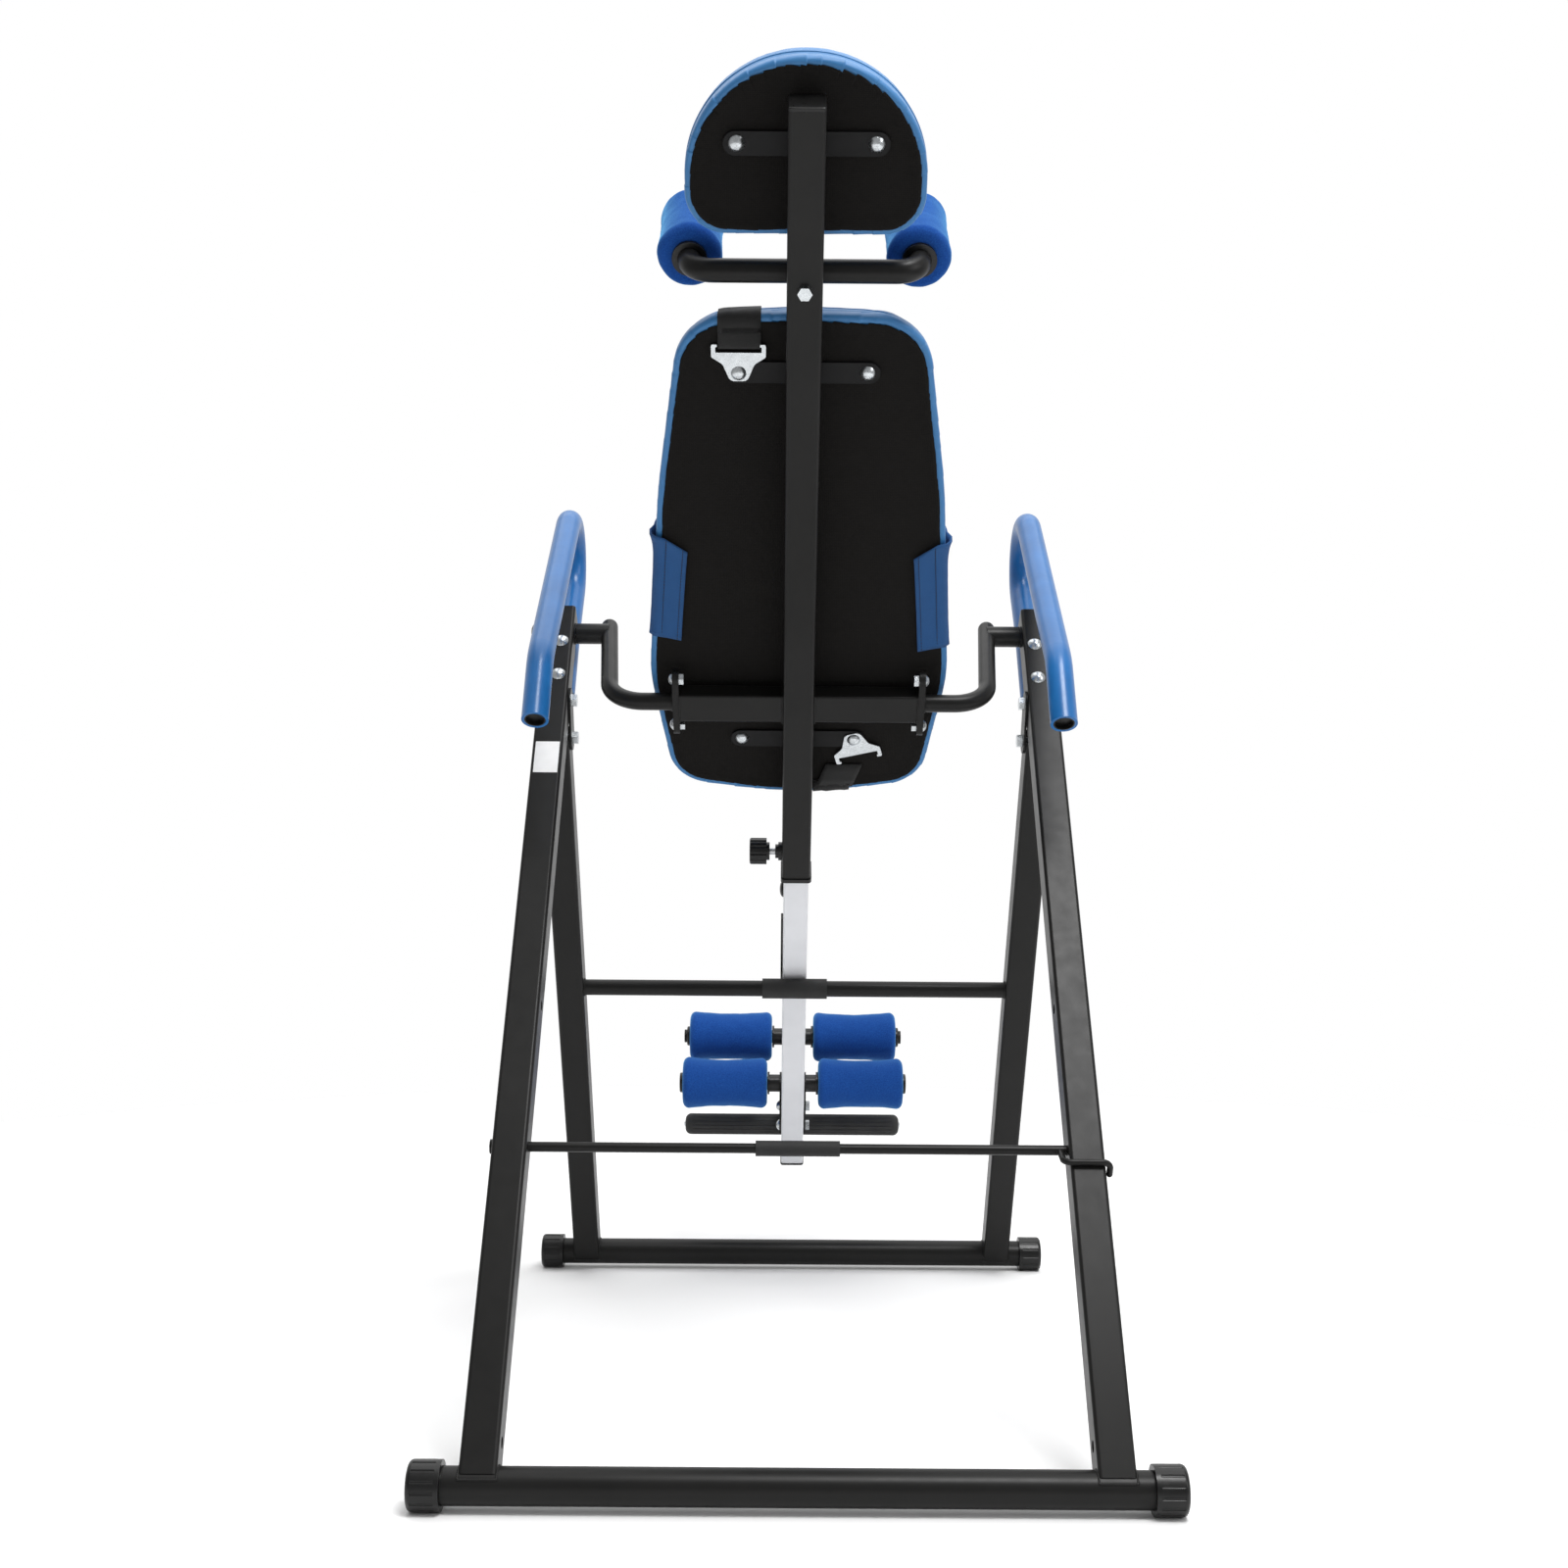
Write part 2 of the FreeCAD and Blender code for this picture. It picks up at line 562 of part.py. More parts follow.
bushes = []
for _, side in SIDES:
    inner = side * (size("leg_track") - size("leg_width") / 2)
    outer = side * (size("leg_track") + size("leg_width") / 2)
    flange = size("bush_flange")
    bush = rod(size("bush_radius"), inner - side * flange, outer + side * flange, 0, 0)
    bush = bush.fuse([rod(size("bush_flange_radius"), inner - side * flange, inner, 0, 0),
                      rod(size("bush_flange_radius"), outer, outer + side * flange, 0, 0)])
    bore = rod(size("axle_radius") + RUNNING, inner - side * 9, outer + side * 9, 0, 0)
    bushes.append(bush.cut(bore).removeSplitter())
feature("pivot_bushes", Part.makeCompound(bushes), REAR_LEG)

label_corner = Vector(-size("leg_track") - size("label_width") / 2,
                      -size("leg_width") / 2 - size("label_thickness"),
                      -size("label_below") - size("label_height") / 2)
sticker = Part.makeBox(size("label_width"), size("label_thickness"), size("label_height"),
                       label_corner)
feature("blank_label", sticker, REAR_LEG)


# --------------------------------------------------------------------------------- stop bar
def stop_rod():
    """Cross rod through both rear legs, with a bent wire catch round the right leg."""
    u = -size("stop_below_pivot")
    outer = size("leg_track") + size("leg_width") / 2
    inner = size("leg_track") - size("leg_width") / 2
    left_end = -outer - size("stop_rod_past_left")
    bar = rod(size("stop_rod_radius"), left_end, outer + size("stop_rod_past_right"), 0, u)
    head = rod(size("stop_rod_head"), left_end, -outer - MOVING - 0.2, 0, u)
    wire = size("hook_wire_radius")
    behind = size("leg_width") / 2 + wire + 0.6
    arm = inner - wire - 4
    hooked = outer + wire + 1
    low = u - size("catch_drop")
    curl = Vector(hooked, -behind + size("catch_tip_back"), u - size("catch_tip_drop"))
    points = [Vector(arm, 0, u), Vector(arm, -behind, low), Vector(hooked, -behind, low), curl]
    catch = pipe(route(points, [size("catch_bend")] * 2), wire)
    tip = Part.makeSphere(wire, points[-1])
    return bar.fuse([head, catch, tip]).removeSplitter()


feature("stop_bar_rod", stop_rod(), REAR_LEG)
half = size("stop_sleeve_length") / 2
sleeve = ring(size("stop_sleeve_radius"), size("stop_rod_radius"), -half, half, 0,
              -size("stop_below_pivot"))
feature("stop_bar_sleeve", sleeve, REAR_LEG)


# ------------------------------------------------------------------------------ front frame
def front_leg(side_name, side):
    name = "front_leg_" + side_name
    length = "%f + Dimensions.fold_overhang - Dimensions.leg_clear_of_base" % FRONT_LENGTH
    tube = tube_along_z(name + "_tube", "leg_width", "leg_corner", "leg_wall", length)
    x = side * size("leg_track")
    tube.Placement = Placement(Vector(x, 0, size("leg_clear_of_base") - FRONT_LENGTH), Rotation())
    outside = x - size("leg_width") / 2 - 10
    across = "Dimensions.leg_width + 20"
    tools = [
        cylinder(name + "_saddle", "Dimensions.base_radius", across,
                 Vector(outside, 0, -FRONT_LENGTH), X_AXIS),
        cylinder(name + "_pin_hole", "Dimensions.fold_pin_radius + Dimensions.running_gap",
                 across, Vector(outside, 0, 0), X_AXIS),
    ]
    keep(cut(name + "_drilled", tube, tools), name, FRONT_LEG)


for side_name, side in SIDES:
    front_leg(side_name, side)


def crossbar_below():
    """Distance below the fold pin at which the sleeve just clears the back of the boom."""
    wanted = SPINE_N - BOOM_HALF - MOVING - size("crossbar_sleeve_radius")
    to_bed = BED.inverse()

    def depth(below):
        return to_bed.multVec(FRONT_LEG.multVec(Vector(0, -size("crossbar_back"), -below))).y

    start, slope = depth(0), depth(1) - depth(0)
    return (wanted - start) / slope


CROSSBAR_BELOW = crossbar_below()
CROSSBAR_AT = Vector(size("leg_width") / 2 - size("leg_track"), -size("crossbar_back"),
                     -CROSSBAR_BELOW)
bar_length = "(Dimensions.leg_track - Dimensions.leg_width / 2) * 2"
outer = cylinder("crossbar_outer", "Dimensions.crossbar_radius", bar_length, CROSSBAR_AT, X_AXIS)
inner = cylinder("crossbar_bore", "Dimensions.crossbar_radius - Dimensions.base_wall",
                 bar_length, CROSSBAR_AT, X_AXIS)
keep(cut("crossbar", outer, [inner]), "front_crossbar", FRONT_LEG)
SLEEVE_AT = Vector(-size("crossbar_sleeve_length") / 2, CROSSBAR_AT.y, CROSSBAR_AT.z)
outer = cylinder("sleeve_outer", "Dimensions.crossbar_sleeve_radius",
                 "Dimensions.crossbar_sleeve_length", SLEEVE_AT, X_AXIS)
inner = cylinder("sleeve_bore", "Dimensions.crossbar_radius",
                 "Dimensions.crossbar_sleeve_length", SLEEVE_AT, X_AXIS)
keep(cut("crossbar_cover", outer, [inner]), "crossbar_sleeve", FRONT_LEG)


# -------------------------------------------------------------------------- bed: spine tube
def spine_tube():
    name = "spine_tube"
    tube = tube_along_z(name + "_blank", "spine_width", "leg_corner", "spine_wall",
                        "Dimensions.spine_top + Dimensions.spine_bottom")
    tube.Placement = Placement(Vector(0, SPINE_N, -size("spine_bottom")), Rotation())
    tools = [
        cylinder(name + "_pin_hole", "Dimensions.pin_radius + Dimensions.running_gap",
                 "Dimensions.spine_width / 2", Vector(0, SPINE_N, -size("knob_down")),
                 X_AXIS * -1),
        cylinder(name + "_bar_hole", "Dimensions.bolt_radius", "Dimensions.spine_width + 20",
                 Vector(0, SPINE_REAR - 10, size("shoulder_up")), Y_AXIS),
    ]
    keep(cut(name + "_drilled", tube, tools), name, BED)


spine_tube()

CROSS_HALF = size("flange_at")
cross_pieces = []
for side_name, side in SIDES:
    name = "cross_" + side_name
    length = "Dimensions.flange_at - Dimensions.spine_width / 2"
    wall = size("cross_wall")
    section = rectangle(SPINE_N, size("cross_up"), size("cross_width"), size("cross_height"),
                        size("cross_corner"))
    section += rectangle(SPINE_N, size("cross_up"), size("cross_width") - 2 * wall,
                         size("cross_height") - 2 * wall, size("cross_corner") - wall)
    stub = padded(name + "_tube", "YZ_Plane", section, length)
    start = size("spine_width") / 2 if side > 0 else -CROSS_HALF
    stub.Placement = Placement(Vector(start, 0, 0), Rotation())
    middle = size("flange_up")
    reach = (size("flange_length") - size("flange_width")) / 2
    outline = stadium((SPINE_N, middle - reach), (SPINE_N, middle + reach),
                      size("flange_width") / 2)
    outline += [circle(SPINE_N, middle + way * size("flange_bolt_spacing") / 2,
                       size("bolt_radius")) for way in (-1, 1)]
    flange = padded(name + "_flange", "YZ_Plane", outline, "Dimensions.flange_plate")
    start = CROSS_HALF if side > 0 else -CROSS_HALF - size("flange_plate")
    flange.Placement = Placement(Vector(start, 0, 0), Rotation())
    cross_pieces.append(fuse(name + "_weldment", [stub, flange]))
keep(group("cross_tube_pair", cross_pieces), "cross_tubes", BED)


def crank_arm(side_name, side):
    """Bent round arm with its bolt-on flange and the collar that carries the pivot axle."""
    near = CROSS_HALF + size("flange_plate")
    far = near + size("flange_plate")
    up = size("flange_up")
    track = size("crank_track")
    low = Vector(side * size("crank_foot_track"), SPINE_N, up)
    pivot_line = unit(Vector(side * track, 0, 0) - low)
    end = Vector(side * track, 0, 0) + pivot_line * size("crank_past_pivot")
    points = [Vector(side * far, SPINE_N, up), low, end]
    edges = route(points, [size("crank_bend")])
    radius = size("crank_radius")
    arm = pipe(edges, radius).cut(pipe(edges, radius - size("crank_wall")))
    ball = Part.makeSphere(radius, end)
    tail = Part.makeCylinder(radius, 20, end - pivot_line * 20, pivot_line)
    reach = (size("flange_length") - size("flange_width")) / 2
    outline = stadium((SPINE_N, up - reach), (SPINE_N, up + reach), size("flange_width") / 2)
    flange = face_of(outline).extrude(Z_AXIS * size("flange_plate"))
    turn = Rotation(Y_AXIS, Z_AXIS, X_AXIS, "ZXY")
    flange.Placement = Placement(Vector(min(side * near, side * far), 0, 0), turn)
    stub = rod(size("stub_radius"), side * track, side * size("stub_end"), 0, 0)
    solid = arm.fuse([ball, tail, flange, stub]).removeSplitter()
    for way in (-1, 1):
        at = up + way * size("flange_bolt_spacing") / 2
        solid = solid.cut(rod(size("bolt_radius"), side * (near - 5), side * (far + 5), SPINE_N, at))
    solid = solid.cut(rod(size("axle_radius"), side * track, side * (size("stub_end") + 5), 0, 0))
    feature("crank_arm_" + side_name, solid, BED)


for side_name, side in SIDES:
    crank_arm(side_name, side)

axles, caps = [], []
for _, side in SIDES:
    axles.append(rod(size("axle_radius"), side * size("crank_track"), side * size("axle_end"), 0, 0))
    outer = size("leg_track") + size("leg_width") / 2 + size("bush_flange") + MOVING + 0.2
    wide, tall = size("pivot_cap_radius"), size("pivot_cap_length")
    profile = [(0, 0), (wide, 0), (wide, tall - 5.6), (wide - 1.5, tall - 2.6),
               (wide - 5, tall - 0.6), (0, tall)]
    cap = revolved(profile, Vector(side * outer, 0, 0), X_AXIS * side)
    caps.append(cap.cut(rod(size("axle_radius"), side * outer, side * size("axle_end"), 0, 0)))
feature("pivot_axles", Part.makeCompound(axles), BED)

caps.append(square_plug(0, SPINE_N, size("spine_top"), size("spine_width"), size("spine_wall"),
                        size("spine_cap"), size("spine_cap_depth")))
collar = face_of(square(size("spine_width") + size("collar_margin"), size("leg_corner") + 1))
collar = collar.extrude(Z_AXIS * -size("collar_height"))
opening = face_of(square(size("boom_width") + 4 * MOVING, size("boom_corner")))
opening = opening.extrude(Z_AXIS * -size("collar_height"))
collar = collar.cut(opening)
collar.translate(Vector(0, SPINE_N, -size("spine_bottom")))
caps.append(collar)
feature("bed_caps", Part.makeCompound(caps), BED)


# --------------------------------------------------------------- bed: bars, hooks and bolts
PAD_BOLT_X = size("pad_bolt_spacing") / 2
BAR_LEVELS = {
    "head_bar": size("head_bar_up"), "upper_bar": size("upper_bar_up"),
    "lower_bar": -size("lower_bar_down"),
}
for label, level in BAR_LEVELS.items():
    half = (size("bar_length") - size("bar_width")) / 2
    outline = stadium((-half, 0), (half, 0), size("bar_width") / 2)
    outline += [circle(way * PAD_BOLT_X, 0, size("bolt_radius")) for way in (-1, 1)]
    bar = padded(label + "_plate", "XZ_Plane", outline, "Dimensions.bar_thickness", True)
    bar.Placement = Placement(Vector(0, SPINE_FRONT, level), Rotation())
    keep(bar, label, BED)


def strap_hook(x, level, turn, way):
    """Thin plate under a pad bolt; its two ears catch the webbing.  way +1: ears up."""
    flank = [(-23.5, 34, 1.2), (-30, 34, 2.4), (-30, 19, 3), (-17.5, 10.5, 8), (-9.5, -9.5, 7.5)]
    ear = [(-25.3, 24.5, 0.8), (-25.3, 30.5, 0.8), (-23.5, 31, 0.8)]
    half = ear + flank
    outline = rounded(half + [(-x, y, r) for x, y, r in reversed(half)])
    plate = face_of(outline).extrude(Z_AXIS * size("hook_plate"))
    plate = plate.cut(Part.makeCylinder(size("bolt_radius"), 9, Vector(0, 0, -3)))
    stand = Rotation(X_AXIS, Z_AXIS * way, Y_AXIS * -way, "ZXY")
    spun = Rotation(Y_AXIS, turn).multiply(stand)
    rear = SPINE_FRONT - (0 if way > 0 else size("hook_plate"))
    plate.Placement = Placement(Vector(x, rear, level), spun)
    return plate


HOOKS = Part.makeCompound([
    strap_hook(-PAD_BOLT_X, size("upper_bar_up"), 0, 1),
    strap_hook(PAD_BOLT_X, -size("lower_bar_down"), -15, -1)])
feature("strap_hooks", HOOKS, BED)

bed_bolts = []
for label, level in BAR_LEVELS.items():
    for way in (-1, 1):
        hooked = (label, way) in (("upper_bar", -1), ("lower_bar", 1))
        rear = SPINE_FRONT - (size("hook_plate") if hooked else 0)
        x = way * PAD_BOLT_X
        bed_bolts.append(bolt(Vector(x, rear, level), Vector(x, BOARD_FRONT - 1, level),
                              "pad_head_radius", nutted=False))
for _, side in SIDES:
    for way in (-1, 1):
        level = size("flange_up") + way * size("flange_bolt_spacing") / 2
        outer = side * (CROSS_HALF + 2 * size("flange_plate"))
        bed_bolts.append(bolt(Vector(outer, SPINE_N, level),
                              Vector(side * CROSS_HALF, SPINE_N, level), "small_head_radius"))
SHOULDER_N = -size("shoulder_behind")
bar_bolt = Part.makeCylinder(size("bolt_radius"), SHOULDER_N - SPINE_REAR,
                             Vector(0, SPINE_REAR, size("shoulder_up")), Y_AXIS)
bar_nut = nut(size("bar_nut"), size("bar_nut_height"),
              Vector(0, SPINE_REAR, size("shoulder_up")), Y_AXIS * -1)
bed_bolts.append(bar_bolt.fuse(bar_nut).removeSplitter())
feature("bed_bolts", Part.makeCompound(bed_bolts), BED)


# --------------------------------------------------------------------- bed: pads and boards
HEAD_OUTLINE = [(-124, 611, 42), (-124, 790, 122), (124, 790, 122), (124, 611, 42)]
BACK_OUTLINE = [(-165, 302, 900), (-134, 514, 65), (0, 521, 900), (134, 514, 65),
                (165, 302, 900), (184, 40, 240), (158, -126, 55), (0, -151, 500),
                (-158, -126, 55), (-184, 40, 240)]


def pad_slab(outline, grow, rear, front):
    """Flat slab of a pad outline, offset by grow, between two depths of the bed."""
    face = face_of(rounded(outline))
    if grow:
        face = face.makeOffset2D(grow)
        face = face if face.Faces else Part.Face(face)
    slab = face.extrude(Z_AXIS * (front - rear))
    turn = Rotation(X_AXIS, Z_AXIS, Y_AXIS * -1, "ZXY")
    slab.Placement = Placement(Vector(0, front, 0), turn)
    return slab


def cushion(outline, grow=0.0, rear=BOARD_FRONT, front=CUSHION_FRONT, edge=None):
    slab = pad_slab(outline, grow, rear, front)
    edge = size("cushion_edge") if edge is None else edge
    return slab.makeFillet(edge, sharp_edges(slab, Vector(0, front, 0), Y_AXIS))


boards = []
for outline, levels in ((HEAD_OUTLINE, ("head_bar",)), (BACK_OUTLINE, ("upper_bar", "lower_bar"))):
    board = pad_slab(outline, -size("board_inset"), BAR_FRONT, BOARD_FRONT)
    for level in levels:
        for way in (-1, 1):
            at = Vector(way * PAD_BOLT_X, BAR_FRONT, BAR_LEVELS[level])
            depth = size("board_thickness") - 1
            board = board.cut(Part.makeCylinder(size("bolt_radius"), depth, at, Y_AXIS))
    boards.append(board)
feature("pad_boards", Part.makeCompound(boards), BED)
feature("head_cushion", cushion(HEAD_OUTLINE), BED)
feature("back_cushion", cushion(BACK_OUTLINE), BED)


def lumbar_cushion():
    """Small support cushion in front of the back pad, ahead of the webbing."""
    low, high, half = size("lumbar_low"), size("lumbar_high"), size("lumbar_half")
    rear = CUSHION_FRONT + size("strap_thickness") + 0.4
    outline = [(-half, low, 25), (half, low, 25), (half - 6, high, 25), (6 - half, high, 25)]
    return cushion(outline, 0, rear, rear + size("lumbar_thickness"), size("lumbar_edge"))


feature("lumbar_cushion", lumbar_cushion(), BED)


def lumbar_band():
    """Elastic side bands that hold the lumbar cushion; they end in flaps behind the pad."""
    thick = size("band_thickness")
    edge = size("cushion_edge")
    outer = cushion(BACK_OUTLINE, thick + 0.2, BAR_FRONT - thick, CUSHION_FRONT + thick,
                    edge + thick)
    inner = cushion(BACK_OUTLINE, 0.2, BAR_FRONT, CUSHION_FRONT + 0.01, edge)
    band = outer.cut(inner)
    low = size("lumbar_low") + size("band_above_low")
    high = size("lumbar_high") - size("band_below_high")
    band = band.common(Part.makeBox(600, 200, high - low, Vector(-300, BAR_FRONT - 50, low)))
    front_half = size("lumbar_half") + 0.4
    front = Part.makeBox(2 * front_half, 80, 400,
                         Vector(-front_half, CUSHION_FRONT - 40, low - 50))
    back_half = 181 - size("flap_width")
    back = Part.makeBox(2 * back_half, 40, 400, Vector(-back_half, BAR_FRONT - 30, low - 50))
    return band.cut(front).cut(back)


feature("lumbar_band", lumbar_band(), BED)


def lumbar_strap():
    """Webbing from the upper hook over the pad top, down the front and under to the lower."""
    thick, width = size("strap_thickness"), size("strap_width")
    back, front = BAR_FRONT - thick / 2 - 0.2, CUSHION_FRONT + thick / 2 + 0.2
    top, bottom = 519 + thick / 2, -150.5 - thick / 2
    start_x, end_x = -PAD_BOLT_X + 1, PAD_BOLT_X - 9

    def bent(x, path, radii):
        """A flat band of the strap width that follows (depth, level) points."""
        mids = [Vector(x, n, u) for n, u in path]
        edges = route(mids, radii)
        first = unit(mids[1] - mids[0])
        across = X_AXIS * (width / 2)
        lift = unit(first.cross(X_AXIS)) * (thick / 2)
        corners = [mids[0] + across + lift, mids[0] - across + lift,
                   mids[0] - across - lift, mids[0] + across - lift]
        section = Part.makePolygon(corners + corners[:1])
        return Part.Wire(edges).makePipeShell([section], True, False)

    upper = bent(start_x, [(back, 484), (back, top), (front, top), (front, 470)], [3, 18])
    lower = bent(end_x, [(back, -92), (back, bottom), (front, bottom), (front, -100)], [3, 18])
    half = width / 2
    diagonal = Part.makePolygon([
        Vector(start_x - half, front - thick / 2, 478), Vector(start_x + half, front - thick / 2, 478),
        Vector(end_x + half, front - thick / 2, -108), Vector(end_x - half, front - thick / 2, -108),
        Vector(start_x - half, front - thick / 2, 478)])
    run = Part.Face(diagonal).extrude(Y_AXIS * thick)
    return upper.fuse([lower, run]).removeSplitter()


feature("lumbar_strap", lumbar_strap(), BED)


# ------------------------------------------------------------------------ bed: shoulder bar
def shoulder_path():
    track, up = size("shoulder_track"), size("shoulder_up")
    return [Vector(-track, size("shoulder_reach"), up), Vector(-track, SHOULDER_N, up),
            Vector(track, SHOULDER_N, up), Vector(track, size("shoulder_reach"), up)]


shoulder_edges = route(shoulder_path(), [size("shoulder_bend")] * 2)
shoulder_bar = pipe(shoulder_edges, size("shoulder_radius"))
shoulder_bar = shoulder_bar.cut(pipe(shoulder_edges, size("shoulder_radius") - size("shoulder_wall")))
shoulder_bar = shoulder_bar.cut(Part.makeCylinder(
    size("bolt_radius"), SHOULDER_N - SPINE_REAR, Vector(0, SPINE_REAR, size("shoulder_up")), Y_AXIS))
feature("shoulder_bar", shoulder_bar, BED)


def foam_profile(bore, radius, length, waist):
    """Closed (radius, height) outline of a foam roller with round, slightly waisted ends."""
    ends = []
    for i in range(7):
        turn = math.radians(90 * i / 6)
        ends.append((radius - 9 + 9 * math.sin(turn), 7 - 7 * math.cos(turn)))
    middle = [(radius - waist * math.sin(math.pi * i / 8), 7 + (length - 14) * i / 8)
              for i in range(1, 8)]
    far = [(r, length - h) for r, h in reversed(ends)]
    return [(bore, 0)] + ends + middle + far + [(bore, length)]


collars = []
foam_start, foam_end = -size("shoulder_foam_start"), 0.0
for side_name, side in SIDES:
    at = Vector(side * size("shoulder_track"), foam_start, size("shoulder_up"))
    bore = size("shoulder_radius") + RUNNING
    profile = foam_profile(bore, size("shoulder_foam_radius"), foam_end - foam_start, 1.0)
    feature("shoulder_roller_" + side_name, revolved(profile, at, Y_AXIS), BED)
    tip_at = Vector(side * size("shoulder_track"), foam_end + 0.5, size("shoulder_up"))
    inner = size("shoulder_radius")
    wide = size("collar_radius")
    rear_at = at - Y_AXIS * 5.5
    rear = Part.makeCylinder(wide, 5, rear_at, Y_AXIS).cut(Part.makeCylinder(inner, 5, rear_at, Y_AXIS))
    tip = revolved([(0, 3.5), (inner, 3.5), (inner, 0), (wide, 0), (wide, 4), (wide - 4, 8), (0, 8.5)],
                   tip_at, Y_AXIS)
    collars += [rear, tip]
feature("shoulder_collars", Part.makeCompound(collars), BED)


# ------------------------------------------------------------------- height pin and its boss
KNOB_U = -size("knob_down")
spine_side = -size("spine_width") / 2
boss_end = spine_side - size("boss_length")
boss = rod(size("boss_radius"), spine_side, boss_end, SPINE_N, KNOB_U)
boss = boss.fuse(rod(size("boss_radius") + 3, spine_side, spine_side - size("boss_foot"),
                     SPINE_N, KNOB_U))
boss = boss.cut(rod(size("pin_radius") + RUNNING, spine_side, boss_end, SPINE_N, KNOB_U))
feature("height_boss", boss.removeSplitter(), BED)

knob_near = spine_side - size("knob_standoff")
knob_far = knob_near - size("knob_length")
pin_end = knob_near - size("pin_in_knob")
pin = rod(size("pin_radius"), -BOOM_HALF + size("boom_wall") + 1, pin_end, SPINE_N, KNOB_U)
feature("height_pin", pin, BED)
knob = rod(size("knob_radius"), knob_near, knob_far, SPINE_N, KNOB_U)
knob = knob.makeFillet(2.5, sharp_edges(knob, Vector(knob_far, 0, 0), X_AXIS))
for i in range(int(size("knob_flutes"))):
    turn = math.radians(360 * i / size("knob_flutes"))
    n = SPINE_N + math.cos(turn) * (size("knob_radius") + 1.2)
    u = KNOB_U + math.sin(turn) * (size("knob_radius") + 1.2)
    knob = knob.cut(rod(size("knob_flute_radius"), knob_near, knob_far, n, u))
hub_end = knob_near + size("knob_hub")
knob = knob.fuse(rod(size("knob_hub_radius"), knob_near, hub_end, SPINE_N, KNOB_U))
knob = knob.cut(rod(size("pin_radius"), hub_end, pin_end, SPINE_N, KNOB_U)).removeSplitter()
feature("height_knob", knob, BED)


# ------------------------------------------------------------------------------------- boom
def boom_tube():
    name = "boom_tube"
    tube = tube_along_z(name + "_blank", "boom_width", "boom_corner", "boom_wall",
                        "Dimensions.boom_bottom + Dimensions.boom_top")
    tube.Placement = Placement(Vector(0, SPINE_N, -size("boom_bottom")), Rotation())
    tools = []
    for i in range(int(size("hole_number"))):
        at = Vector(0, SPINE_N, KNOB_U + i * size("hole_pitch"))
        tools.append(cylinder("%s_hole_%d" % (name, i),
                              "Dimensions.pin_radius + Dimensions.running_gap",
                              "Dimensions.boom_width / 2 + 5", at, X_AXIS * -1))
    for word in ("upper", "lower"):
        at = Vector(-BOOM_HALF - 5, SPINE_N, -size("bracket_bolt_" + word))
        tools.append(cylinder("%s_bracket_%s" % (name, word), "Dimensions.bolt_radius",
                              "Dimensions.boom_width + 10", at, X_AXIS))
    window = doc.addObject("Part::Box", name + "_window")
    for side_length in ("Length", "Height"):
        window.setExpression(side_length, "Dimensions.slide_width + 1")
    window.setExpression("Width", "Dimensions.boom_width / 2")
    half = (size("slide_width") + 1) / 2
    window.Placement = Placement(Vector(-half, SPINE_N + 3, -size("slide_down") - half), Rotation())
    tools.append(window)
    keep(cut(name + "_drilled", tube, tools), name, BED)


boom_tube()


def axle_ends(half, n, u, gap, centre):
    """Black end caps outside the rollers and flanged spacers between them."""
    pieces = []
    bore = size("ankle_axle_radius")
    for _, side in SIDES:
        roller_out = gap / 2 + size("roller_length") + 0.5
        end = side * (half + size("axle_cap_proud"))
        cap = rod(size("axle_cap_radius"), side * roller_out, end, n, u)
        cap = cap.makeFillet(2, sharp_edges(cap, Vector(end, 0, 0), X_AXIS))
        pieces.append(cap.cut(rod(bore, side * roller_out, side * half, n, u)))
        inner = gap / 2 - 0.5
        spacer = rod(bore + 3, side * centre, side * inner, n, u)
        spacer = spacer.fuse(rod(bore + 7, side * (inner - 3), side * inner, n, u))
        pieces.append(spacer.cut(rod(bore, side * centre, side * inner, n, u)).removeSplitter())
    return pieces


REAR_N, REAR_U = -size("ankle_behind"), -size("ankle_down")
FRONT_N, FRONT_U = -size("front_axle_behind"), -size("front_axle_down")
SLIDE_U = -size("slide_down")
PLATE_OUT = BOOM_HALF + size("bracket_plate")

fittings = [square_plug(0, SPINE_N, -size("boom_bottom"), size("boom_width") + 2,
                        size("boom_wall") + 1, 4, 14, up=-1)]
wide, rise = size("button_radius"), size("button_rise")
dome = [(0, 0), (wide, 0), (wide, rise * 0.2), (wide * 0.87, rise * 0.55), (wide * 0.64, rise * 0.82),
        (wide * 0.34, rise * 0.96), (0, rise)]
fittings.append(revolved(dome, Vector(-BOOM_HALF, SPINE_N, -size("button_down")), X_AXIS * -1))
strip = Part.makeBox(size("strip_thickness"), size("strip_width"),
                     size("strip_bottom") - size("strip_top"),
                     Vector(-BOOM_HALF - size("strip_thickness"),
                            SPINE_N - size("strip_width") / 2, -size("strip_bottom")))
fittings.append(strip)
fittings += axle_ends(size("ankle_axle_half"), REAR_N, REAR_U, size("rear_gap"), PLATE_OUT)
feature("boom_fittings", Part.makeCompound(fittings), BED)


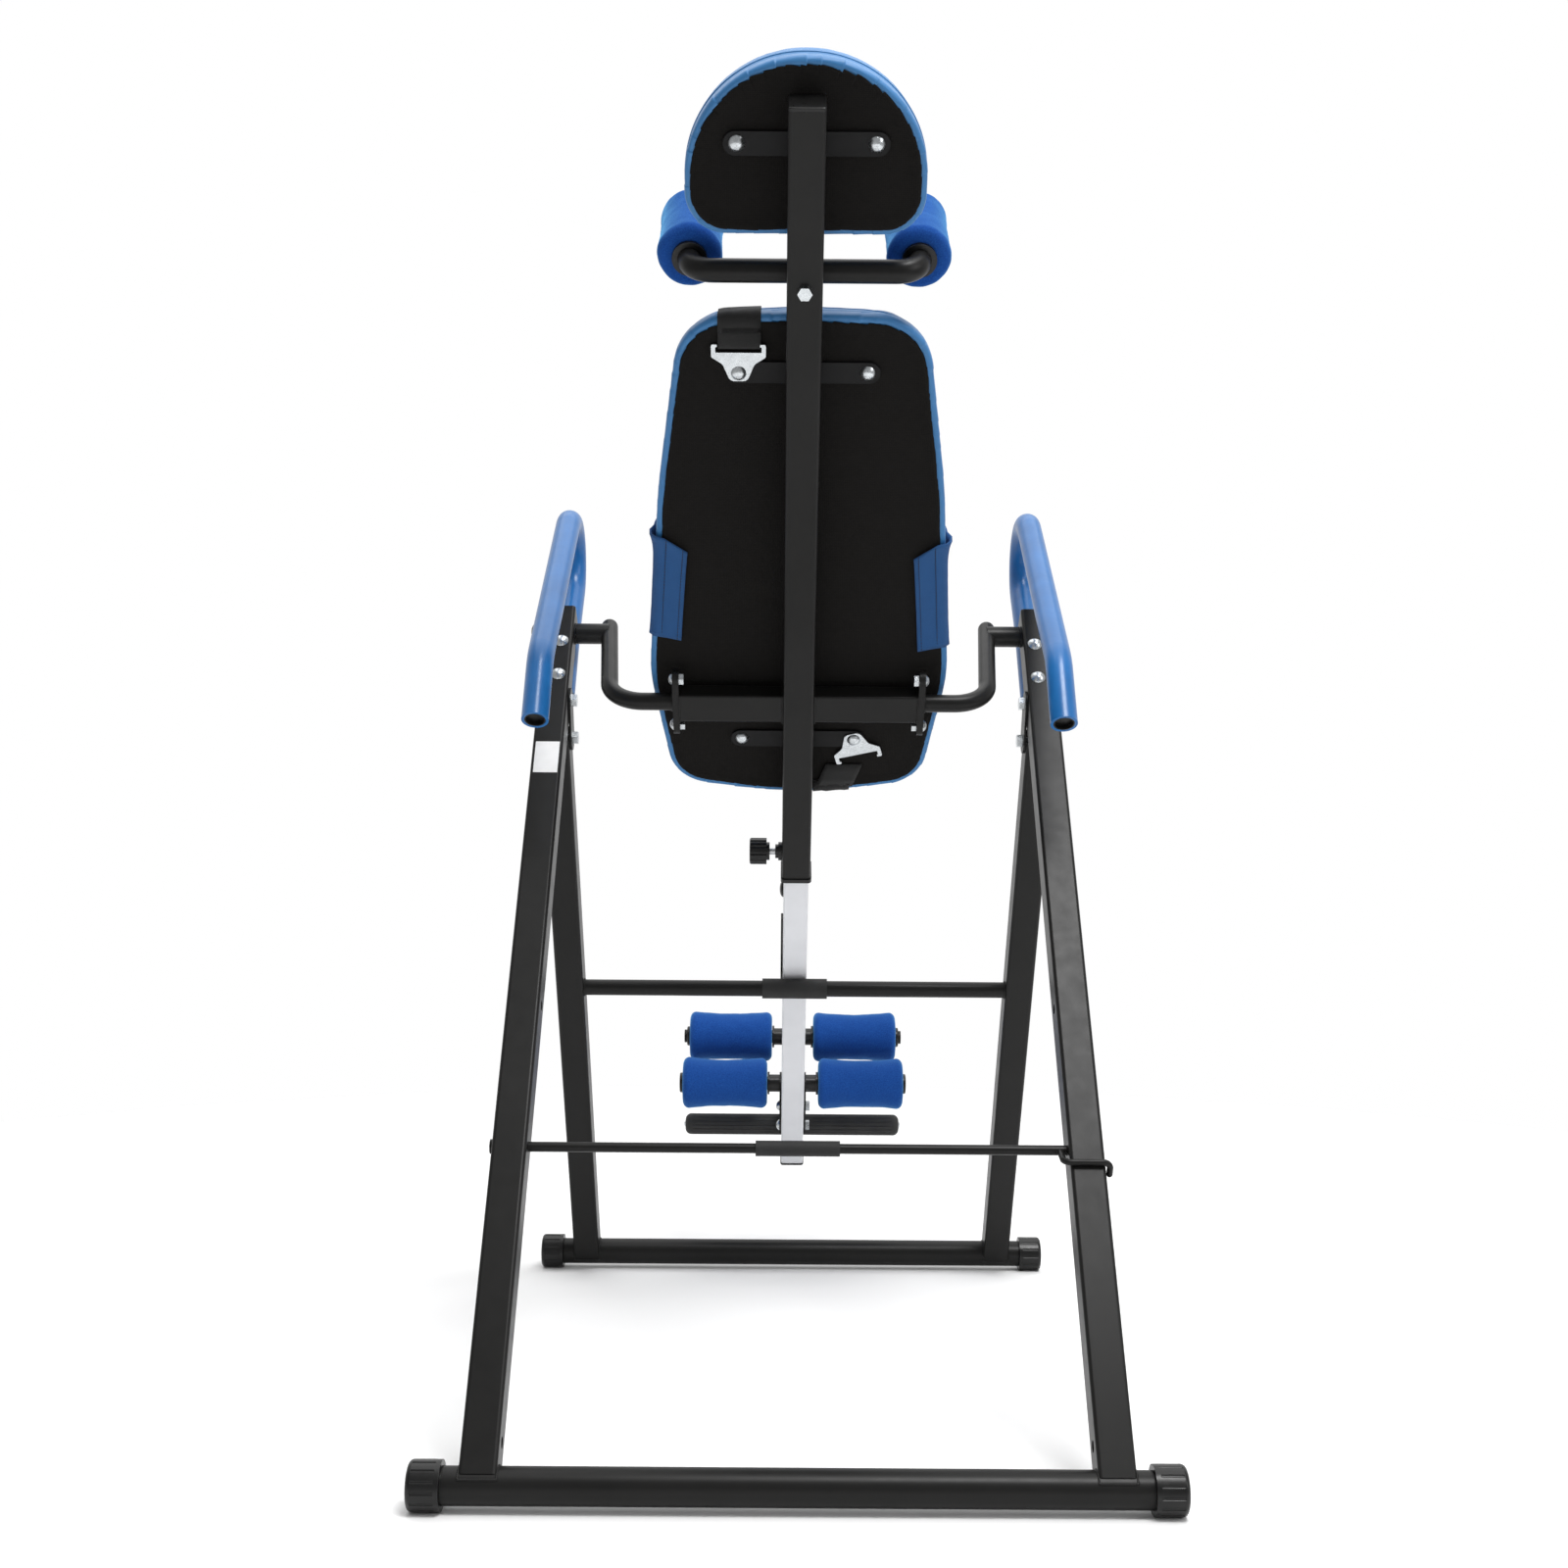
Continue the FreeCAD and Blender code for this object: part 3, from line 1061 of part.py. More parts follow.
def ankle_bracket():
    """Cheek plates that hold the rear axle, the square housing and its pin boss."""
    outline = rounded([(-181, -799, 8), (-124, -799, 8), (-124, -709, 12), (-151, -709, 12),
                       (-181, -736, 10)])
    outline += [circle(REAR_N, REAR_U, size("ankle_axle_radius"))]
    outline += [circle(SPINE_N, -size("bracket_bolt_" + word), size("bolt_radius"))
                for word in ("upper", "lower")]
    plates = []
    for side_name, side in SIDES:
        plate = padded("ankle_cheek_" + side_name, "YZ_Plane", outline, "Dimensions.bracket_plate")
        start = BOOM_HALF if side > 0 else -PLATE_OUT
        plate.Placement = Placement(Vector(start, 0, 0), Rotation())
        plates.append(plate)
    length = "Dimensions.spine_behind - Dimensions.boom_width / 2 - Dimensions.housing_front"
    housing = tube_along_z("ankle_housing", "housing_width", "cross_corner", "housing_wall", length)
    housing.Placement = Placement(Vector(0, SPINE_N + BOOM_HALF, SLIDE_U), along(Y_AXIS))
    near = -size("housing_width") / 2
    at = Vector(near, -size("ankle_pin_behind"), SLIDE_U)
    boss = cylinder("ankle_pin_boss", "Dimensions.ankle_boss_radius",
                    "Dimensions.ankle_boss_length", at, X_AXIS * -1)
    joined = fuse("ankle_housing_boss", [housing, boss])
    bore = cylinder("ankle_pin_bore", "Dimensions.ankle_pin_radius + Dimensions.running_gap",
                    "Dimensions.housing_width", Vector(0, at.y, at.z), X_AXIS * -1)
    plates.append(cut("ankle_housing_drilled", joined, [bore]))
    keep(group("ankle_bracket_set", plates), "ankle_bracket", BED)


ankle_bracket()

small = []
for word in ("upper", "lower"):
    level = -size("bracket_bolt_" + word)
    small.append(bolt(Vector(-PLATE_OUT, SPINE_N, level), Vector(PLATE_OUT, SPINE_N, level),
                      "small_head_radius"))
for _, side in SIDES:
    end = Vector(side * size("footrest_half"), -size("footrest_behind"), -size("footrest_down"))
    small.append(headed_pin(end, end - X_AXIS * side * 10, 2.5, 5.5, 2.5))
feature("ankle_bolts", Part.makeCompound(small), BED)

half = size("ankle_axle_half")
bore = size("ankle_axle_radius") - size("ankle_axle_wall")
feature("rear_ankle_axle", ring(size("ankle_axle_radius"), bore, -half, half, REAR_N, REAR_U), BED)


def footrest():
    """Ribbed round bar on a saddle that seats on the front of the boom."""
    half, radius = size("footrest_half"), size("footrest_radius")
    n, u = -size("footrest_behind"), -size("footrest_down")
    bar = rod(radius, -half, half, n, u)
    ends = sharp_edges(bar, Vector(half, 0, 0), X_AXIS)
    ends += sharp_edges(bar, Vector(-half, 0, 0), X_AXIS)
    bar = bar.makeFillet(size("footrest_end"), ends)
    ribbed = half - size("footrest_end") - 3
    for i in range(int(size("footrest_ribs"))):
        turn = math.radians(360 * i / size("footrest_ribs"))
        at_n, at_u = n + math.cos(turn) * (radius + 0.4), u + math.sin(turn) * (radius + 0.4)
        bar = bar.cut(rod(size("footrest_rib_radius"), -ribbed, ribbed, at_n, at_u))
    seat = SPINE_N + BOOM_HALF
    saddle = Part.makeBox(30, n - 6 - seat, 24, Vector(-15, seat, u - 12))
    for side in (-1, 1):
        bar = bar.cut(rod(2.5, side * (half - 10), side * (half + 1), n, u))
    return bar.fuse(saddle).removeSplitter()


feature("footrest_bar", footrest(), BED)


# -------------------------------------------------------------------- ankle slide and locks
def ankle_slide():
    """Square tube that telescopes in the housing and carries the front axle."""
    width, wall = size("slide_width"), size("slide_wall")
    rear, front = -size("slide_rear"), FRONT_N + size("slide_front_past")
    outer = face_of(square(width, 2.5)).cut(face_of(square(width - 2 * wall, 1)))
    tube = outer.extrude(Z_AXIS * (front - rear))
    tube.Placement = Placement(Vector(0, rear, SLIDE_U), along(Y_AXIS))
    for i in range(int(size("hole_number"))):
        at = -size("ankle_pin_behind") - i * size("ankle_hole_pitch")
        tube = tube.cut(rod(size("ankle_pin_radius") + RUNNING, -width, 0, at, SLIDE_U))
    half = size("ankle_axle_half")
    radius = size("ankle_axle_radius")
    axle = rod(radius, -half, half, FRONT_N, FRONT_U)
    bore = rod(radius - size("ankle_axle_wall"), -half, half, FRONT_N, FRONT_U)
    wide, deep = size("post_width"), size("post_depth")
    post = Part.makeBox(wide, deep, FRONT_U - SLIDE_U - width / 2,
                        Vector(-wide / 2, FRONT_N - deep / 2, SLIDE_U + width / 2))
    return tube.fuse([post, axle]).cut(bore).removeSplitter()


feature("ankle_slide", ankle_slide(), BED)
front_fittings = axle_ends(size("ankle_axle_half") - 6.5, FRONT_N, FRONT_U, size("front_gap"), 10.5)
feature("ankle_slide_fittings", Part.makeCompound([
    piece.cut(rod(size("ankle_axle_radius"), -400, 400, FRONT_N, FRONT_U))
    for piece in front_fittings]), BED)

pin_n = -size("ankle_pin_behind")
handle_disc = rod(8, -24, -36, pin_n, SLIDE_U)
handle_disc = handle_disc.makeFillet(2, sharp_edges(handle_disc, Vector(-36, 0, 0), X_AXIS))
ankle_pin = handle_disc.fuse(rod(size("ankle_pin_radius"), -8.6, -24, pin_n, SLIDE_U))
feature("ankle_pin", ankle_pin.removeSplitter(), BED)


def ankle_roller(label, side, gap, n, u):
    bore = size("ankle_axle_radius") + RUNNING
    profile = foam_profile(bore, size("roller_radius"), size("roller_length"), 2.5)
    feature(label, revolved(profile, Vector(side * gap / 2, n, u), X_AXIS * side), BED)


for side_name, side in SIDES:
    ankle_roller("rear_roller_" + side_name, side, size("rear_gap"), REAR_N, REAR_U)
    ankle_roller("front_roller_" + side_name, side, size("front_gap"), FRONT_N, FRONT_U)


# ------------------------------------------------------------------ origin, check and export
doc.recompute()
for obj in doc.Objects:
    if "Invalid" in obj.State or "Error" in obj.State:
        raise RuntimeError("%s did not build" % obj.Name)
box = FreeCAD.BoundBox()
for obj in PARTS:
    if obj.Shape.isNull() or not obj.Shape.isValid():
        raise RuntimeError("%s has no valid shape" % obj.Label)
    box.add(obj.Shape.optimalBoundingBox(True, False))
to_origin = Placement(Vector(-box.Center.x, -box.Center.y, -box.ZMin), Rotation())
for obj in PARTS:
    obj.Placement = to_origin.multiply(obj.Placement)
doc.recompute()

os.makedirs("parts", exist_ok=True)
for obj in PARTS:
    obj.Shape.exportStep("parts/%s.step" % obj.Label)
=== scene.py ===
import json
import math
import random

import bmesh
import bpy
from mathutils import Matrix, Vector, noise
from mathutils.bvhtree import BVHTree


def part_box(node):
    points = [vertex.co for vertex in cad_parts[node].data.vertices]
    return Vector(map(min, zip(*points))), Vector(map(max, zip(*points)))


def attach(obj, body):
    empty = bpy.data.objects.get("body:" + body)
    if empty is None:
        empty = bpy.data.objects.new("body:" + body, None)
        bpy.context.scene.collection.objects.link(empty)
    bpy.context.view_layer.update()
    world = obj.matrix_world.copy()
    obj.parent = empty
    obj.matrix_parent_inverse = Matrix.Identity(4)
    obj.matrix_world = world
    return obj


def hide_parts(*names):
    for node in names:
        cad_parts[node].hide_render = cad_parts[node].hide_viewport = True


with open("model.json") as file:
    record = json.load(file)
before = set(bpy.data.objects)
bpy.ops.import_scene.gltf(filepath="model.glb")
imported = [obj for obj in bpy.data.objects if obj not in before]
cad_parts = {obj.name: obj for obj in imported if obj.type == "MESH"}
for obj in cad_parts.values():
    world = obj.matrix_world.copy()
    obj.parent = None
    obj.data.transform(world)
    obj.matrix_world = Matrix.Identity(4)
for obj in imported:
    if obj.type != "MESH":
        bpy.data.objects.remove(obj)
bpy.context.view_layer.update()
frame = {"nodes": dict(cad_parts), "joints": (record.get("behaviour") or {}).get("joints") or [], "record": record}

# Folding inversion table seen from behind.  Everything is in metres, in the CAD's frame.
# The bed has a frame of its own: x across, "out" towards the user, "up" towards the head.
JOINTS = {joint["name"]: joint for joint in frame["joints"]}
NODES = frame["nodes"]
PIVOT = Vector(JOINTS["bed_tilt"]["pos_m"])
OUT = Vector(JOINTS["ankle_adjust"]["axis"]).normalized()
UP = -Vector(JOINTS["boom_height"]["axis"]).normalized()
ACROSS = Vector((1, 0, 0))
SIDES = (("left", -1), ("right", 1))
MM = 0.001
BED_ANGLE = math.radians(41)


def frame_matrix(x_axis, y_axis, z_axis, origin):
    turn = Matrix((x_axis, y_axis, z_axis)).transposed().to_4x4()
    return Matrix.Translation(origin) @ turn


BED = frame_matrix(ACROSS, OUT, UP, PIVOT)

# Depths of the bed's layers, measured out from the pivot axis, and its levels
SPINE_OUT = -168 * MM
SPINE_HALF = 19 * MM
CROSS_UP = 13.5 * MM
PAD_REAR = -145 * MM
PAD_FRONT = -93 * MM
BOARD = 9 * MM
PRESSURE = 4.0
ROLLER = {"radius": 38.5 * MM, "length": 127 * MM, "bore": 10.4 * MM}
SHOULDER = {"radius": 36 * MM, "length": 104 * MM, "bore": 13.1 * MM}
STRAP_WIDTH = 47 * MM
LUMBAR_LOW, LUMBAR_HIGH, LUMBAR_HALF = 95 * MM, 245 * MM, 150 * MM
BAND_SPAN = {"left": (102 * MM, 245 * MM), "right": (88 * MM, 238 * MM)}
BAND_BEND, BAND_REACH = 7 * MM, 36 * MM

HEAD_OUTLINE = [(-124, 611, 42), (-124, 790, 122), (124, 790, 122), (124, 611, 42)]
BACK_OUTLINE = [(-165, 302, 900), (-134, 514, 65), (0, 521, 900), (134, 514, 65),
                (165, 302, 900), (184, 40, 240), (158, -126, 55), (0, -151, 500),
                (-158, -126, 55), (-184, 40, 240)]


# ============================================================================= materials
class Shader:
    """A Principled material with short helpers for its procedural detail."""

    def __init__(self, name, **sockets):
        self.material = bpy.data.materials.new(name)
        self.material.use_nodes = True
        self.tree = self.material.node_tree
        self.surface = self.tree.nodes["Principled BSDF"]
        for socket, value in sockets.items():
            self.surface.inputs[socket.replace("_", " ")].default_value = value
        self.place = self.tree.nodes.new("ShaderNodeTexCoord").outputs["Object"]

    def node(self, kind, settings=None, **inputs):
        made = self.tree.nodes.new(kind)
        for key, value in (settings or {}).items():
            setattr(made, key, value)
        for key, value in inputs.items():
            socket = made.inputs[key.replace("_", " ")]
            if isinstance(value, bpy.types.NodeSocket):
                self.tree.links.new(value, socket)
            else:
                socket.default_value = value
        return made

    def noise(self, scale, detail=3.0, roughness=0.5, at=None):
        texture = self.node("ShaderNodeTexNoise", Vector=at or self.place, Scale=scale,
                            Detail=detail, Roughness=roughness)
        return texture.outputs["Fac"]

    def on_bed(self):
        """The object's coordinates turned with the bed, so that a weave follows it."""
        mapping = self.node("ShaderNodeMapping", Vector=self.place)
        mapping.inputs["Rotation"].default_value = (-BED_ANGLE, 0, 0)
        return mapping.outputs["Vector"]

    def ramp(self, value, *stops):
        ramp = self.node("ShaderNodeValToRGB", Fac=value)
        elements = ramp.color_ramp.elements
        while len(elements) < len(stops):
            elements.new(0.5)
        for element, (position, colour) in zip(elements, stops):
            element.position = position
            element.color = (*colour, 1) if len(colour) == 3 else colour
        return ramp.outputs["Color"]

    def spread(self, value, low, high):
        made = self.node("ShaderNodeMapRange", Value=value, To_Min=low, To_Max=high)
        return made.outputs["Result"]

    def maths(self, operation, a, b):
        made = self.node("ShaderNodeMath", {"operation": operation})
        for socket, value in zip(made.inputs, (a, b)):
            if isinstance(value, bpy.types.NodeSocket):
                self.tree.links.new(value, socket)
            else:
                socket.default_value = value
        return made.outputs["Value"]

    def bump(self, height, strength, distance, under=None):
        made = self.node("ShaderNodeBump", Height=height, Strength=strength, Distance=distance)
        if under is not None:
            self.tree.links.new(under, made.inputs["Normal"])
        return made.outputs["Normal"]

    def soft_edges(self, radius):
        made = self.node("ShaderNodeBevel", {"samples": 6}, Radius=radius)
        return made.outputs["Normal"]

    def set(self, **links):
        for socket, output in links.items():
            self.tree.links.new(output, self.surface.inputs[socket.replace("_", " ")])
        return self.material


def powder_coat(name, dark, light, roughness, edge=0.6 * MM):
    """Satin powder coat: fine orange peel, faint cloudiness in colour and gloss."""
    s = Shader(name, Metallic=0.0, Specular_IOR_Level=0.2)
    cloud = s.noise(9, 5, 0.6)
    colour = s.ramp(cloud, (0.3, dark), (0.7, light))
    peel = s.noise(1400, 2, 0.5)
    rough = s.spread(s.noise(60, 4), roughness - 0.06, roughness + 0.07)
    normal = s.bump(peel, 0.25, 0.12 * MM, s.soft_edges(edge))
    return s.set(Base_Color=colour, Roughness=rough, Normal=normal)


def zinc_plate(name, colour=(0.62, 0.65, 0.67), roughness=0.26):
    s = Shader(name, Metallic=1.0)
    streak = s.noise(130, 4, 0.65)
    tint = s.ramp(streak, (0.3, tuple(c * 0.82 for c in colour)), (0.7, colour))
    rough = s.spread(s.noise(420, 3), roughness - 0.08, roughness + 0.14)
    normal = s.bump(s.noise(900, 2), 0.12, 0.1 * MM, s.soft_edges(0.4 * MM))
    return s.set(Base_Color=tint, Roughness=rough, Normal=normal)


def moulded_plastic(name, dark, light, roughness=0.30):
    """Injection-moulded black plastic with a fine spark-eroded grain."""
    s = Shader(name, Metallic=0.0, Specular_IOR_Level=0.35)
    colour = s.ramp(s.noise(30, 4), (0.35, dark), (0.7, light))
    rough = s.spread(s.noise(180, 3), roughness - 0.08, roughness + 0.1)
    normal = s.bump(s.noise(1900, 2), 0.14, 0.12 * MM, s.soft_edges(0.5 * MM))
    return s.set(Base_Color=colour, Roughness=rough, Normal=normal)


def rubber(name, dark, light):
    s = Shader(name, Metallic=0.0)
    colour = s.ramp(s.noise(45, 5, 0.7), (0.3, dark), (0.75, light))
    rough = s.spread(s.noise(90, 3), 0.62, 0.82)
    normal = s.bump(s.noise(750, 3), 0.3, 0.15 * MM, s.soft_edges(0.5 * MM))
    return s.set(Base_Color=colour, Roughness=rough, Normal=normal)


def foam_knit(name):
    """Royal blue foam with a short knitted nap: fine loops, speckled colour, soft sheen."""
    s = Shader(name, Metallic=0.0, Roughness=0.95, Sheen_Weight=0.6, Sheen_Roughness=0.4,
               Specular_IOR_Level=0.2)
    s.surface.inputs["Sheen Tint"].default_value = (0.2, 0.62, 1.0, 1)
    loops = s.node("ShaderNodeTexVoronoi", Vector=s.place, Scale=1050.0).outputs["Distance"]
    speckle = s.noise(640, 4, 0.7)
    both = s.maths("MULTIPLY", speckle, s.spread(loops, 1.15, 0.75))
    colour = s.ramp(both, (0.25, (0.004, 0.036, 0.19)), (0.5, (0.007, 0.060, 0.28)),
                    (0.75, (0.018, 0.098, 0.37)))
    normal = s.bump(loops, 0.4, 0.35 * MM, s.bump(s.noise(170, 4), 0.25, 0.8 * MM))
    return s.set(Base_Color=colour, Normal=normal)


def grip_vinyl(name):
    """Glossy blue vinyl sleeve over foam, slightly mottled."""
    s = Shader(name, Metallic=0.0, Specular_IOR_Level=0.4, Coat_Weight=0.06, Coat_Roughness=0.15)
    colour = s.ramp(s.noise(26, 4), (0.3, (0.008, 0.102, 0.30)), (0.7, (0.013, 0.130, 0.37)))
    rough = s.spread(s.noise(160, 4), 0.26, 0.38)
    normal = s.bump(s.noise(520, 3), 0.14, 0.2 * MM, s.bump(s.noise(38, 2), 0.12, 1.5 * MM))
    return s.set(Base_Color=colour, Roughness=rough, Normal=normal)


def upholstery_vinyl(name, dark=(0.023, 0.145, 0.35), light=(0.030, 0.168, 0.395)):
    """Blue upholstery vinyl with a pebbled leather grain."""
    s = Shader(name, Metallic=0.0, Specular_IOR_Level=0.45, Sheen_Weight=0.1)
    grain = s.node("ShaderNodeTexVoronoi", {"feature": "DISTANCE_TO_EDGE"},
                   Vector=s.place, Scale=430.0).outputs["Distance"]
    colour = s.ramp(s.noise(14, 5, 0.6), (0.3, dark), (0.7, light))
    rough = s.spread(s.noise(75, 4), 0.40, 0.56)
    pores = s.node("ShaderNodeMapRange", Value=grain, From_Max=0.12).outputs["Result"]
    normal = s.bump(pores, 0.22, 0.22 * MM, s.bump(s.noise(55, 3), 0.12, 1.0 * MM))
    return s.set(Base_Color=colour, Roughness=rough, Normal=normal)


def backing_cloth(name):
    """Black non-woven dust cover: pressed dots in a square grid over loose fibre."""
    s = Shader(name, Metallic=0.0, Roughness=0.95, Specular_IOR_Level=0.2)
    at = s.on_bed()
    bars = [s.node("ShaderNodeTexWave", {"bands_direction": axis}, Vector=at,
                   Scale=150.0, Distortion=0.6).outputs["Fac"] for axis in ("X", "Z")]
    dots = s.maths("MULTIPLY", bars[0], bars[1])
    fibre = s.noise(800, 5, 0.8)
    colour = s.ramp(s.maths("ADD", s.spread(dots, 0.0, 0.35), fibre),
                    (0.35, (0.0035, 0.0032, 0.003)), (0.95, (0.011, 0.0098, 0.0088)))
    normal = s.bump(dots, 0.5, 0.3 * MM, s.bump(fibre, 0.3, 0.3 * MM))
    return s.set(Base_Color=colour, Normal=normal)


def webbing(name, dark, light, scale=520.0, sheen=0.2):
    """Woven polyester: crossed ribs at thread scale."""
    s = Shader(name, Metallic=0.0, Roughness=0.86, Sheen_Weight=sheen)
    at = s.on_bed()
    warp = s.node("ShaderNodeTexWave", {"bands_direction": "X"}, Vector=at, Scale=scale,
                  Distortion=0.4).outputs["Fac"]
    weft = s.node("ShaderNodeTexWave", {"bands_direction": "Z"}, Vector=at, Scale=scale * 0.7,
                  Distortion=0.4).outputs["Fac"]
    weave = s.maths("MAXIMUM", warp, weft)
    colour = s.ramp(s.maths("MULTIPLY", weave, s.spread(s.noise(90), 0.7, 1.3)),
                    (0.2, dark), (0.9, light))
    normal = s.bump(weave, 0.6, 0.35 * MM)
    return s.set(Base_Color=colour, Normal=normal)


def label_paper(name):
    s = Shader(name, Metallic=0.0)
    colour = s.ramp(s.noise(60, 4), (0.3, (0.84, 0.84, 0.83)), (0.7, (0.90, 0.90, 0.90)))
    rough = s.spread(s.noise(200), 0.42, 0.58)
    return s.set(Base_Color=colour, Roughness=rough,
                 Normal=s.bump(s.noise(500), 0.1, 0.1 * MM, s.soft_edges(0.3 * MM)))


MATERIALS = {
    "frame_black": powder_coat("frame_black", (0.0066, 0.0065, 0.0062), (0.0096, 0.0094, 0.0090), 0.36),
    "boom_grey": powder_coat("boom_grey", (0.68, 0.69, 0.72), (0.76, 0.77, 0.80), 0.42),
    "bright_steel": zinc_plate("bright_steel", (0.5, 0.51, 0.52), 0.34),
    "zinc": zinc_plate("zinc"),
    "black_plastic": moulded_plastic("black_plastic", (0.0025, 0.0025, 0.0025), (0.005, 0.005, 0.005)),
    "rubber_black": rubber("rubber_black", (0.007, 0.007, 0.007), (0.015, 0.015, 0.015)),
    "foam_blue": foam_knit("foam_blue"),
    "grip_blue": grip_vinyl("grip_blue"),
    "pad_blue": upholstery_vinyl("pad_blue"),
    "pad_back": backing_cloth("pad_back"),
    "webbing": webbing("webbing", (0.003, 0.003, 0.003), (0.011, 0.011, 0.011), sheen=0.06),
    "band_blue": webbing("band_blue", (0.005, 0.046, 0.155), (0.012, 0.087, 0.26), 900.0, sheen=0.03),
    "white_label": label_paper("white_label"),
}


# Nodes whose finish differs from the rest of their slot: a lighter rubber on the footrest bar, and on the bars
# behind the pads a darker, flatter copy of the frame's black that is painted shade
BAR_BLACK_PAINTED_SHADE = powder_coat("bar_black_painted_shade", (0.0035, 0.0035, 0.004), (0.006, 0.006, 0.0065), 0.55)
FINISHES_AND_PAINTED_SHADE = {
    "footrest_bar": rubber("footrest_rubber", (0.018, 0.018, 0.018), (0.034, 0.034, 0.033)),
    "head_bar": BAR_BLACK_PAINTED_SHADE, "upper_bar": BAR_BLACK_PAINTED_SHADE, "lower_bar": BAR_BLACK_PAINTED_SHADE,
}


def paint_cad():
    """Every CAD node takes the procedural material of its slot, or a finish of its own; the bars behind the pads
    take a darker copy of the frame's black as painted shade.
    """
    for part in frame["record"]["subparts"]:
        item = NODES[part["node"]]
        item.data.materials.clear()
        item.data.materials.append(FINISHES_AND_PAINTED_SHADE.get(part["node"], MATERIALS[part["material_slot"]]))


# ========================================================================== mesh helpers
def piece(name, mesh, slot, body, smooth=True):
    """Links a finished mesh as a piece of the object that rides on a body."""
    made = bpy.data.objects.new(name, mesh)
    bpy.context.scene.collection.objects.link(made)
    mesh.materials.append(MATERIALS[slot])
    for face in mesh.polygons:
        face.use_smooth = smooth
    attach(made, body)
    return made


def mesh_from(name, verts, faces, matrix=None):
    mesh = bpy.data.meshes.new(name)
    mesh.from_pydata([tuple(v) for v in verts], [], faces)
    if matrix is not None:
        mesh.transform(matrix)
    mesh.validate()
    return mesh


def loft(rings, closed_ends=True):
    """Vertices and faces of a skin through equal rings; its ends close on centre points."""
    count = len(rings[0])
    verts = [v for ring in rings for v in ring]
    faces = []
    for r in range(len(rings) - 1):
        for i in range(count):
            j = (i + 1) % count
            a, b = r * count, (r + 1) * count
            faces.append((a + i, a + j, b + j, b + i))
    if closed_ends:
        for start, order in ((0, -1), ((len(rings) - 1) * count, 1)):
            centre = sum((Vector(v) for v in verts[start:start + count]), Vector()) / count
            verts.append(centre)
            tip = len(verts) - 1
            for i in range(count):
                pair = (start + i, start + (i + 1) % count)
                faces.append((*(pair if order > 0 else pair[::-1]), tip))
    return verts, faces


def rounded(points, per_arc=24):
    """Closed polyline with round corners from (x, y, corner radius) points, in metres."""
    line = []
    count = len(points)
    for i, (x, y, radius) in enumerate(points):
        here = Vector((x, y)) * MM
        before = (Vector(points[i - 1][:2]) * MM - here).normalized()
        after = (Vector(points[(i + 1) % count][:2]) * MM - here).normalized()
        half = before.angle(after) / 2
        reach = radius * MM / math.tan(half)
        centre = here + (before + after).normalized() * (radius * MM / math.sin(half))
        start, end = here + before * reach - centre, here + after * reach - centre
        sweep = start.angle_signed(end)
        for k in range(per_arc + 1):
            turn = -sweep * k / per_arc
            c, s = math.cos(turn), math.sin(turn)
            line.append(centre + Vector((start.x * c - start.y * s, start.x * s + start.y * c)))
    return line


def evenly(line, count):
    """Resamples a closed polyline to equal steps."""
    loop = line + [line[0]]
    lengths = [0.0]
    for a, b in zip(loop, loop[1:]):
        lengths.append(lengths[-1] + (b - a).length)
    out = []
    k = 0
    for i in range(count):
        target = lengths[-1] * i / count
        while lengths[k + 1] < target:
            k += 1
        span = max(lengths[k + 1] - lengths[k], 1e-9)
        out.append(loop[k].lerp(loop[k + 1], (target - lengths[k]) / span))
    return out


def normals_of(line):
    """Outward normals of a closed outline that runs round its centre."""
    centre = sum(line, Vector((0, 0))) / len(line)
    found = []
    for i, p in enumerate(line):
        along = line[(i + 1) % len(line)] - line[i - 1]
        normal = Vector((along.y, -along.x)).normalized()
        found.append(normal if normal.dot(p - centre) > 0 else -normal)
    return found


# ============================================================================== cushions
def cushion_shape(outline, rear, front, edge, lip, crown, count=220):
    """Closed loft of a pad: wrapped rear lip, straight side, rolled front edge, crown."""
    line = evenly(rounded(outline), count)
    normal = normals_of(line)
    centre = sum(line, Vector((0, 0))) / count

    def ring(inset, out):
        return [Vector((p.x - n.x * inset, out, p.y - n.y * inset)) for p, n in zip(line, normal)]

    def shrunk(k, out):
        base = ring(edge, out)
        return [Vector((centre.x + (v.x - centre.x) * k, out, centre.y + (v.z - centre.y) * k))
                for v in base]

    rings = [shrunk(k, rear + 0.4 * MM) for k in (0.25, 0.5, 0.75)]
    rings += [ring(lip, rear), ring(lip * 0.6, rear - 0.3 * MM), ring(2.4 * MM, rear),
              ring(0.7 * MM, rear + 1.4 * MM), ring(0, rear + 4 * MM)]
    side = front - edge - (rear + 4 * MM)
    rings += [ring(-0.6 * MM * math.sin(math.pi * k / 5), rear + 4 * MM + side * k / 5)
              for k in range(1, 6)]
    for k in range(1, 8):
        turn = math.radians(90 * k / 7)
        rings.append(ring(edge * (1 - math.cos(turn)), front - edge + edge * math.sin(turn)))
    for k in (0.9, 0.8, 0.68, 0.55, 0.42, 0.3, 0.18, 0.08):
        rings.append(shrunk(k, front + crown * (1 - k * k)))
    return loft(rings)


